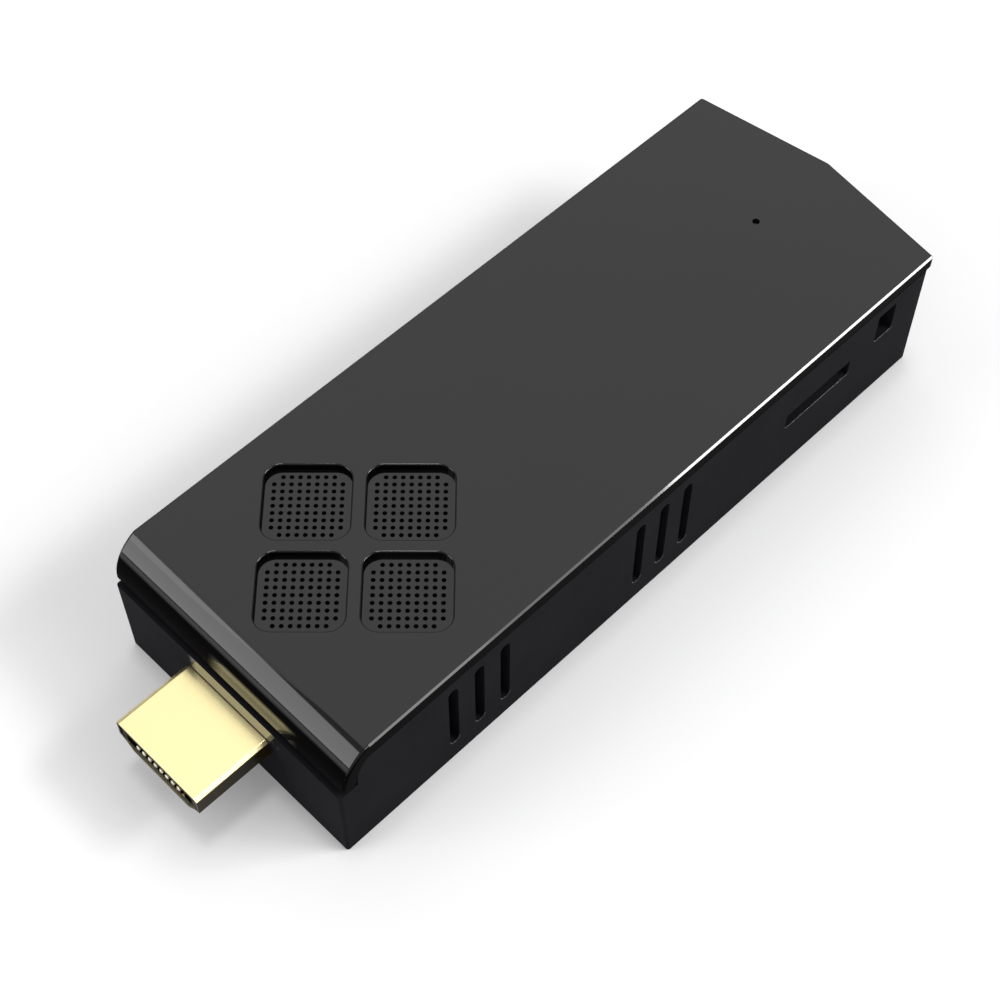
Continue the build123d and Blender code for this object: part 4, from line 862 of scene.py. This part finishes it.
@dataclass
class Case:
    """Cover, tub and their screws, with the cover's bevel and the lit lower rims of the tub's openings.

    Sizes are in millimetres. A point of the cover counts as on its side where it lies no further in
    than side_slack.
    """

    front_x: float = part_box("bottom_housing")[0][0] / MM
    wall_y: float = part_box("bottom_housing")[0][1] / MM
    rim_radius: float = 0.07
    rim_steps: int = 6
    slot_width: float = 1.5
    slot_foot: float = 3.8
    slot_groups: tuple[float, float] = (21.0, 51.4)
    slot_pitch: float = 4.05
    card_slot: Opening = Opening(middle=79.95, width=12.1, foot=9.15, corner=0.35)
    strap_hole: Opening = Opening(middle=92.4, width=3.4, foot=11.3, corner=0.35)
    edge_radius: float = 0.35
    bevel_start: float = 4.6
    side_slack: float = 0.03

    def add_rim(self, shape: Shape, opening: Opening) -> None:
        """Add a bead along an opening's lower edge and corners.

        Args:
            shape: Shape to add to.
            opening: The opening.
        """
        corner = opening.corner
        steps = [pi / 2 * i / self.rim_steps for i in range(self.rim_steps + 1)]
        reach = opening.width / 2 - corner
        x = self.front_x + opening.middle
        heights = [opening.foot + corner - corner * sin(a) for a in steps]
        left = [(x - reach - corner * cos(a), self.wall_y, z) for a, z in zip(steps, heights)]
        right = [(x + reach + corner * cos(a), self.wall_y, z) for a, z in zip(steps, heights)][::-1]
        if reach == 0:
            right = right[1:]
        add_bead(shape, left + right, self.rim_radius)

    def build_rims(self) -> None:
        """Make the lower rims of the slots, the card slot and the strap hole."""
        shape = bmesh.new()
        for group in self.slot_groups:
            for i in (-1, 0, 1):
                middle = group + i * self.slot_pitch
                self.add_rim(shape, Opening(middle, self.slot_width, self.slot_foot, self.slot_width / 2))
        for opening in (self.card_slot, self.strap_hole):
            self.add_rim(shape, opening)
        # painted highlight: a paler, glossier bead along each opening's lower edge
        grow("opening_rims", PAINTED_HIGHLIGHT_EDGE, "case", shape)

    def build_bevel(self) -> None:
        """Make the lacquered bevel along the cover's long edge over the slotted wall."""
        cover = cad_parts["top_cover"]
        low, high = corners_mm("top_cover")
        places = [cover.matrix_world @ v.co / MM for v in cover.data.vertices]
        rear = max(p.x for p in places if p.y < low.y + self.side_slack)
        shape = bmesh.new()
        span = (self.front_x + self.bevel_start, rear)
        add_bevel(shape, span, (low.y, high.z), Inward.PLUS_Y, self.edge_radius)
        grow("cover_edge_bevel", COVER, "case", shape, smooth=False)

    def build(self) -> None:
        """Dress the case and make its bevel and rims."""
        dress(COVER, "top_cover")
        dress(TUB, "bottom_housing")
        dress(BLACK_STEEL, "housing_screws")
        self.build_bevel()
        self.build_rims()


@dataclass
class Plug:
    """HDMI plug: gilt shell, core and contacts, with the bent ends of the upper contacts at its mouth.

    Sizes are in millimetres.
    """

    face_x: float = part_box("hdmi_insulator")[0][0] / MM
    tip_count: int = 8
    tip_pitch: float = 1.0
    tip_height: float = 8.58
    tip_size: tuple[float, float, float] = (1.1, 0.46, 0.55)
    tip_round: float = 0.04
    tip_depth: float = 0.41
    bevel_length: float = 10.3
    edge_radius: float = 0.5

    def build_tips(self) -> None:
        """Make the row of contact tips."""
        shape = bmesh.new()
        for i in range(self.tip_count):
            y = (i - (self.tip_count - 1) / 2) * self.tip_pitch
            centre = (self.face_x + self.tip_depth, y, self.tip_height)
            add_block(shape, centre, self.tip_size, self.tip_round)
        grow("plug_contact_tips", TIP, "case", shape)

    def build_bevels(self) -> None:
        """Make the gilt bevels along the shell's upper edges."""
        low, high = corners_mm("hdmi_shell")
        span = (low.x, low.x + self.bevel_length)
        shape = bmesh.new()
        for side, inward in ((low.y, Inward.PLUS_Y), (high.y, Inward.MINUS_Y)):
            add_bevel(shape, span, (side, high.z), inward, self.edge_radius)
        grow("plug_edge_bevels", GILT, "case", shape, smooth=False)

    def build(self) -> None:
        """Dress the plug and make its tips and bevels."""
        dress(GILT, "hdmi_shell")
        dress(PLUG_CORE, "hdmi_insulator")
        dress(GILT_CONTACT, "hdmi_contacts")
        self.build_tips()
        self.build_bevels()


@dataclass
class Board:
    """Board with its chips, power parts, wireless module and light."""

    def build(self) -> None:
        """Dress the board's solids."""
        dress(SOLDER_MASK, "mainboard")
        dress(CHIP, "memory_chips", "storage_chip", "power_chip", "firmware_chip")
        dress(LAMINATE, "processor")
        dress(FERRITE, "inductors")
        dress(CAN, "capacitors", "crystal")
        dress(SHEET, "power_shield", "wifi_shield")
        dress(WIFI_MASK, "wifi_module")
        dress(FILM, "antenna")
        dress(SLEEVE, "antenna_lead")
        dress(RESIN, "status_led")
        dress(ACRYLIC, "light_pipe")


@dataclass
class Cooler:
    """Heat sink, its pad, standoffs and screws."""

    def build(self) -> None:
        """Dress the cooler's solids."""
        dress(PAD, "thermal_pad")
        dress(ALUMINIUM, "heatsink")
        dress(STEEL, "heatsink_standoffs", "heatsink_screws")


@dataclass
class Fan:
    """Fan with its motor, screws, connector and lead."""

    def build(self) -> None:
        """Dress the fan's solids."""
        dress(FAN_PLASTIC, "fan_frame", "fan_impeller")
        dress(BRONZE, "fan_bearing")
        dress(LAMINATIONS, "fan_stator")
        dress(COPPER, "fan_coils")
        dress(MAGNET, "fan_magnet")
        dress(STEEL, "fan_shaft", "fan_screws")
        dress(SOLDER_MASK, "fan_board")
        dress(IVORY, "fan_connector")
        dress(SLEEVE, "fan_lead")


@dataclass
class UsbSockets:
    """The two USB sockets and the micro USB socket, with the leaf springs that hold a plug.

    Sizes are in millimetres.
    """

    leaf_spread: float = 2.7
    leaf_width: float = 1.7
    leaf_thickness: float = 0.2
    leaf_start: float = 0.5
    leaf_length: float = 5.2
    leaf_foot: float = 0.16
    leaf_rise: float = 0.55
    leaf_steps: int = 16

    def build_leaves(self) -> None:
        """Bend the two springs in the floor of each USB socket."""
        shape = bmesh.new()
        for name in ("usb2_shell", "usb3_shell"):
            low, high = corners_mm(name)
            path = []
            for i in range(self.leaf_steps + 1):
                share = i / self.leaf_steps
                rise = self.leaf_foot + self.leaf_rise * sin(pi * share) ** 2
                path.append((high.y - self.leaf_start - self.leaf_length * share, low.z + rise))
            for side in (-1, 1):
                middle = (low.x + high.x) / 2 + side * self.leaf_spread
                add_strip(shape, path, middle, self.leaf_width, self.leaf_thickness)
        grow("usb_leaf_springs", SHEET, "case", shape)

    def build(self) -> None:
        """Dress the sockets and make their leaf springs."""
        dress(SHEET, "usb2_shell", "usb3_shell", "micro_usb_shell")
        dress(BLACK_PBT, "usb2_tongue", "micro_usb_tongue")
        dress(BLUE_PBT, "usb3_tongue")
        dress(GILT_CONTACT, "usb2_contacts", "usb3_contacts", "micro_usb_contacts")
        self.build_leaves()


@dataclass
class CardSocket:
    """Push-push card socket, with a wound spring that its slider presses together.

    Sizes are in millimetres.
    """

    spring_wire: float = 0.08
    spring_turns: int = 8
    turn_steps: int = 20
    travel: float = 1.4

    def build_spring(self) -> None:
        """Wind the spring, which stands for the plain one."""
        low, high = corners_mm("card_spring")
        middle = (low + high) / 2
        radius = (high.z - low.z) / 2 - self.spring_wire
        start, end = low.y + self.spring_wire, high.y - self.spring_wire
        count = self.spring_turns * self.turn_steps
        path = []
        for i in range(count + 1):
            angle = tau * i / self.turn_steps
            y = start + (end - start) * i / count
            path.append((middle.x + radius * cos(angle), y, middle.z + radius * sin(angle)))
        shape = bmesh.new()
        add_bead(shape, path, self.spring_wire)
        coil = grow("card_spring_coil", STEEL, "case", shape)
        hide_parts("card_spring")
        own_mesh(coil)

    def build(self) -> None:
        """Dress the card socket and wind its spring."""
        dress(SOCKET_PLASTIC, "card_socket_base")
        dress(SHEET, "card_socket_cover")
        dress(GILT_CONTACT, "card_contacts")
        dress(IVORY, "card_slider")
        dress(STEEL, "card_spring")
        self.build_spring()


@dataclass
class PowerButton:
    """Power button with its switch."""

    def build(self) -> None:
        """Dress the button and the switch."""
        dress(BUTTON, "power_button")
        dress(IVORY, "switch_plunger")
        dress(BLACK_PBT, "switch_body")


@dataclass(frozen=True)
class Softbox:
    """One studio lamp: where it stands as seen from the object, how large it is and how bright it looks.

    Distance and sizes are in metres.
    """

    name: str
    toward: tuple[float, float, float]
    distance: float
    width: float
    height: float
    radiance: float

    def build(self) -> None:
        """Hang the lamp and turn it to the object."""
        lamp = bpy.data.lights.new(self.name, "AREA")
        lamp.shape = "RECTANGLE"
        lamp.size = self.width
        lamp.size_y = self.height
        lamp.energy = self.radiance * pi * self.width * self.height
        thing = bpy.data.objects.new(self.name, lamp)
        direction = Vector(self.toward).normalized()
        thing.location = direction * self.distance
        thing.rotation_euler = direction.to_track_quat("Z", "Y").to_euler()
        bpy.context.scene.collection.objects.link(thing)
        log.info("lamp %s", self.name)


@dataclass
class Studio:
    """Pale floor, soft lamps, grey room and the photograph's camera.

    Sizes are in metres unless their name says otherwise. The floor glows a little where it is seen,
    and turns plain white between glow_from and glow_to from the object. The camera looks at target_mm
    on the floor, from the yaw and pitch given in degrees.
    """

    floor_size: float = 6.0
    floor_colour: str = "#F4F4F4"
    paper_glow: float = 0.12
    glow_from: float = 0.3
    glow_to: float = 0.8
    room: float = 0.36
    lamps: tuple[Softbox, ...] = (
        Softbox("panel_over_rear", (0.39, 0.39, 0.834), distance=1.2, width=0.9, height=0.9, radiance=0.82),
        Softbox("strip_front", (-0.45, 0.43, 0.78), distance=1.3, width=0.5, height=1.04, radiance=0.75),
        Softbox("panel_left", (-0.84, 0.42, 0.34), distance=1.3, width=0.6, height=0.8, radiance=3.1),
        Softbox("key_soft", (0.45, -0.62, 0.64), distance=1.5, width=0.8, height=0.6, radiance=3.6),
        Softbox("key_core", (0.53, -0.53, 0.66), distance=1.5, width=0.5, height=0.18, radiance=27.0),
        Softbox("panel_right", (0.2, -0.72, 0.62), distance=1.3, width=0.4, height=0.6, radiance=2.0),
        Softbox("lamp_over", (0.02, 0.04, 1.0), distance=1.3, width=0.22, height=0.2, radiance=20.0),
    )
    target_mm: tuple[float, float] = (-0.466, 2.54)
    yaw: float = -44.89
    pitch: float = 56.53
    distance_mm: float = 248.1
    focal_px: float = 1963.8
    frame_px: int = 1000
    sensor_mm: float = 36.0
    near_mm: float = 10.0

    def paper(self) -> bpy.types.Material:
        """Make the floor's matt white paper.

        Returns:
            The material.
        """
        material = bpy.data.materials.new("white_paper")
        material.use_nodes = True
        tree = material.node_tree
        tree.nodes.clear()
        paper = wire(tree, "ShaderNodeBsdfDiffuse", {"Color": linear(self.floor_colour)}).outputs[0]
        white = wire(tree, "ShaderNodeEmission", {"Color": linear("#FFFFFF"), "Strength": 1.0}).outputs[0]
        ray = wire(tree, "ShaderNodeLightPath").outputs
        direct, glossy, passing = ray["Is Camera Ray"], ray["Is Glossy Ray"], ray["Is Transmission Ray"]
        seen = wire(tree, "ShaderNodeMath", links={0: direct, 1: glossy}, operation="MAXIMUM").outputs[0]
        seen = wire(tree, "ShaderNodeMath", links={0: seen, 1: passing}, operation="MAXIMUM").outputs[0]
        glow = {1: self.paper_glow}
        near = wire(tree, "ShaderNodeMath", glow, {0: seen}, operation="MULTIPLY").outputs[0]
        place = wire(tree, "ShaderNodeTexCoord").outputs["Object"]
        away = wire(tree, "ShaderNodeVectorMath", links={0: place}, operation="LENGTH").outputs["Value"]
        reach = {"From Min": self.glow_from, "From Max": self.glow_to}
        far = wire(tree, "ShaderNodeMapRange", reach, {"Value": away}).outputs[0]
        far = wire(tree, "ShaderNodeMath", links={0: far, 1: direct}, operation="MULTIPLY").outputs[0]
        share = wire(tree, "ShaderNodeMath", links={0: near, 1: far}, operation="MAXIMUM").outputs[0]
        both = wire(tree, "ShaderNodeMixShader", links={0: share, 1: paper, 2: white})
        wire(tree, "ShaderNodeOutputMaterial", links={"Surface": both.outputs[0]})
        return material

    def build_floor(self) -> None:
        """Lay the floor."""
        mesh = bpy.data.meshes.new("floor")
        half = self.floor_size / 2
        corners = [(-half, -half, 0), (half, -half, 0), (half, half, 0), (-half, half, 0)]
        mesh.from_pydata(corners, [], [(0, 1, 2, 3)])
        mesh.materials.append(self.paper())
        floor = bpy.data.objects.new("floor", mesh)
        bpy.context.scene.collection.objects.link(floor)

    def build_world(self) -> None:
        """Light the object from an even grey room, and show the camera a white one."""
        world = bpy.data.worlds.new("studio")
        bpy.context.scene.world = world
        world.use_nodes = True
        tree = world.node_tree
        tree.nodes.clear()
        walls = wire(tree, "ShaderNodeBackground", {"Color": grey(self.room), "Strength": 1.0}).outputs[0]
        white = wire(tree, "ShaderNodeBackground", {"Color": linear("#FFFFFF"), "Strength": 1.0}).outputs[0]
        direct = wire(tree, "ShaderNodeLightPath").outputs["Is Camera Ray"]
        both = wire(tree, "ShaderNodeMixShader", links={0: direct, 1: walls, 2: white})
        wire(tree, "ShaderNodeOutputWorld", links={"Surface": both.outputs[0]})

    def build_camera(self) -> None:
        """Set the camera as fitted to the photograph's edges."""
        yaw, pitch = radians(self.yaw), radians(self.pitch)
        back = Vector((sin(yaw) * cos(pitch), -cos(yaw) * cos(pitch), sin(pitch)))
        camera = bpy.data.cameras.new("camera")
        camera.sensor_width = self.sensor_mm
        camera.lens = self.focal_px / self.frame_px * self.sensor_mm
        camera.clip_start = self.near_mm * MM
        thing = bpy.data.objects.new("camera", camera)
        target = Vector((*self.target_mm, 0)) * MM
        thing.location = target + back * self.distance_mm * MM
        thing.rotation_euler = back.to_track_quat("Z", "Y").to_euler()
        bpy.context.scene.collection.objects.link(thing)
        bpy.context.scene.camera = thing

    def build(self) -> None:
        """Set up the studio."""
        self.build_floor()
        self.build_world()
        for lamp in self.lamps:
            lamp.build()
        self.build_camera()
        bpy.context.scene.view_settings.view_transform = "Standard"
        log.info("studio ready")


def main() -> None:
    """Build each sub-assembly and the studio."""
    logging.basicConfig(level=logging.INFO, format="%(name)s: %(message)s")
    parts = (Case(), Plug(), Board(), Cooler(), Fan(), UsbSockets(), CardSocket(), PowerButton(), Studio())
    for part in parts:
        part.build()
        log.info("%s built", type(part).__name__)


if __name__ == "__main__":
    main()
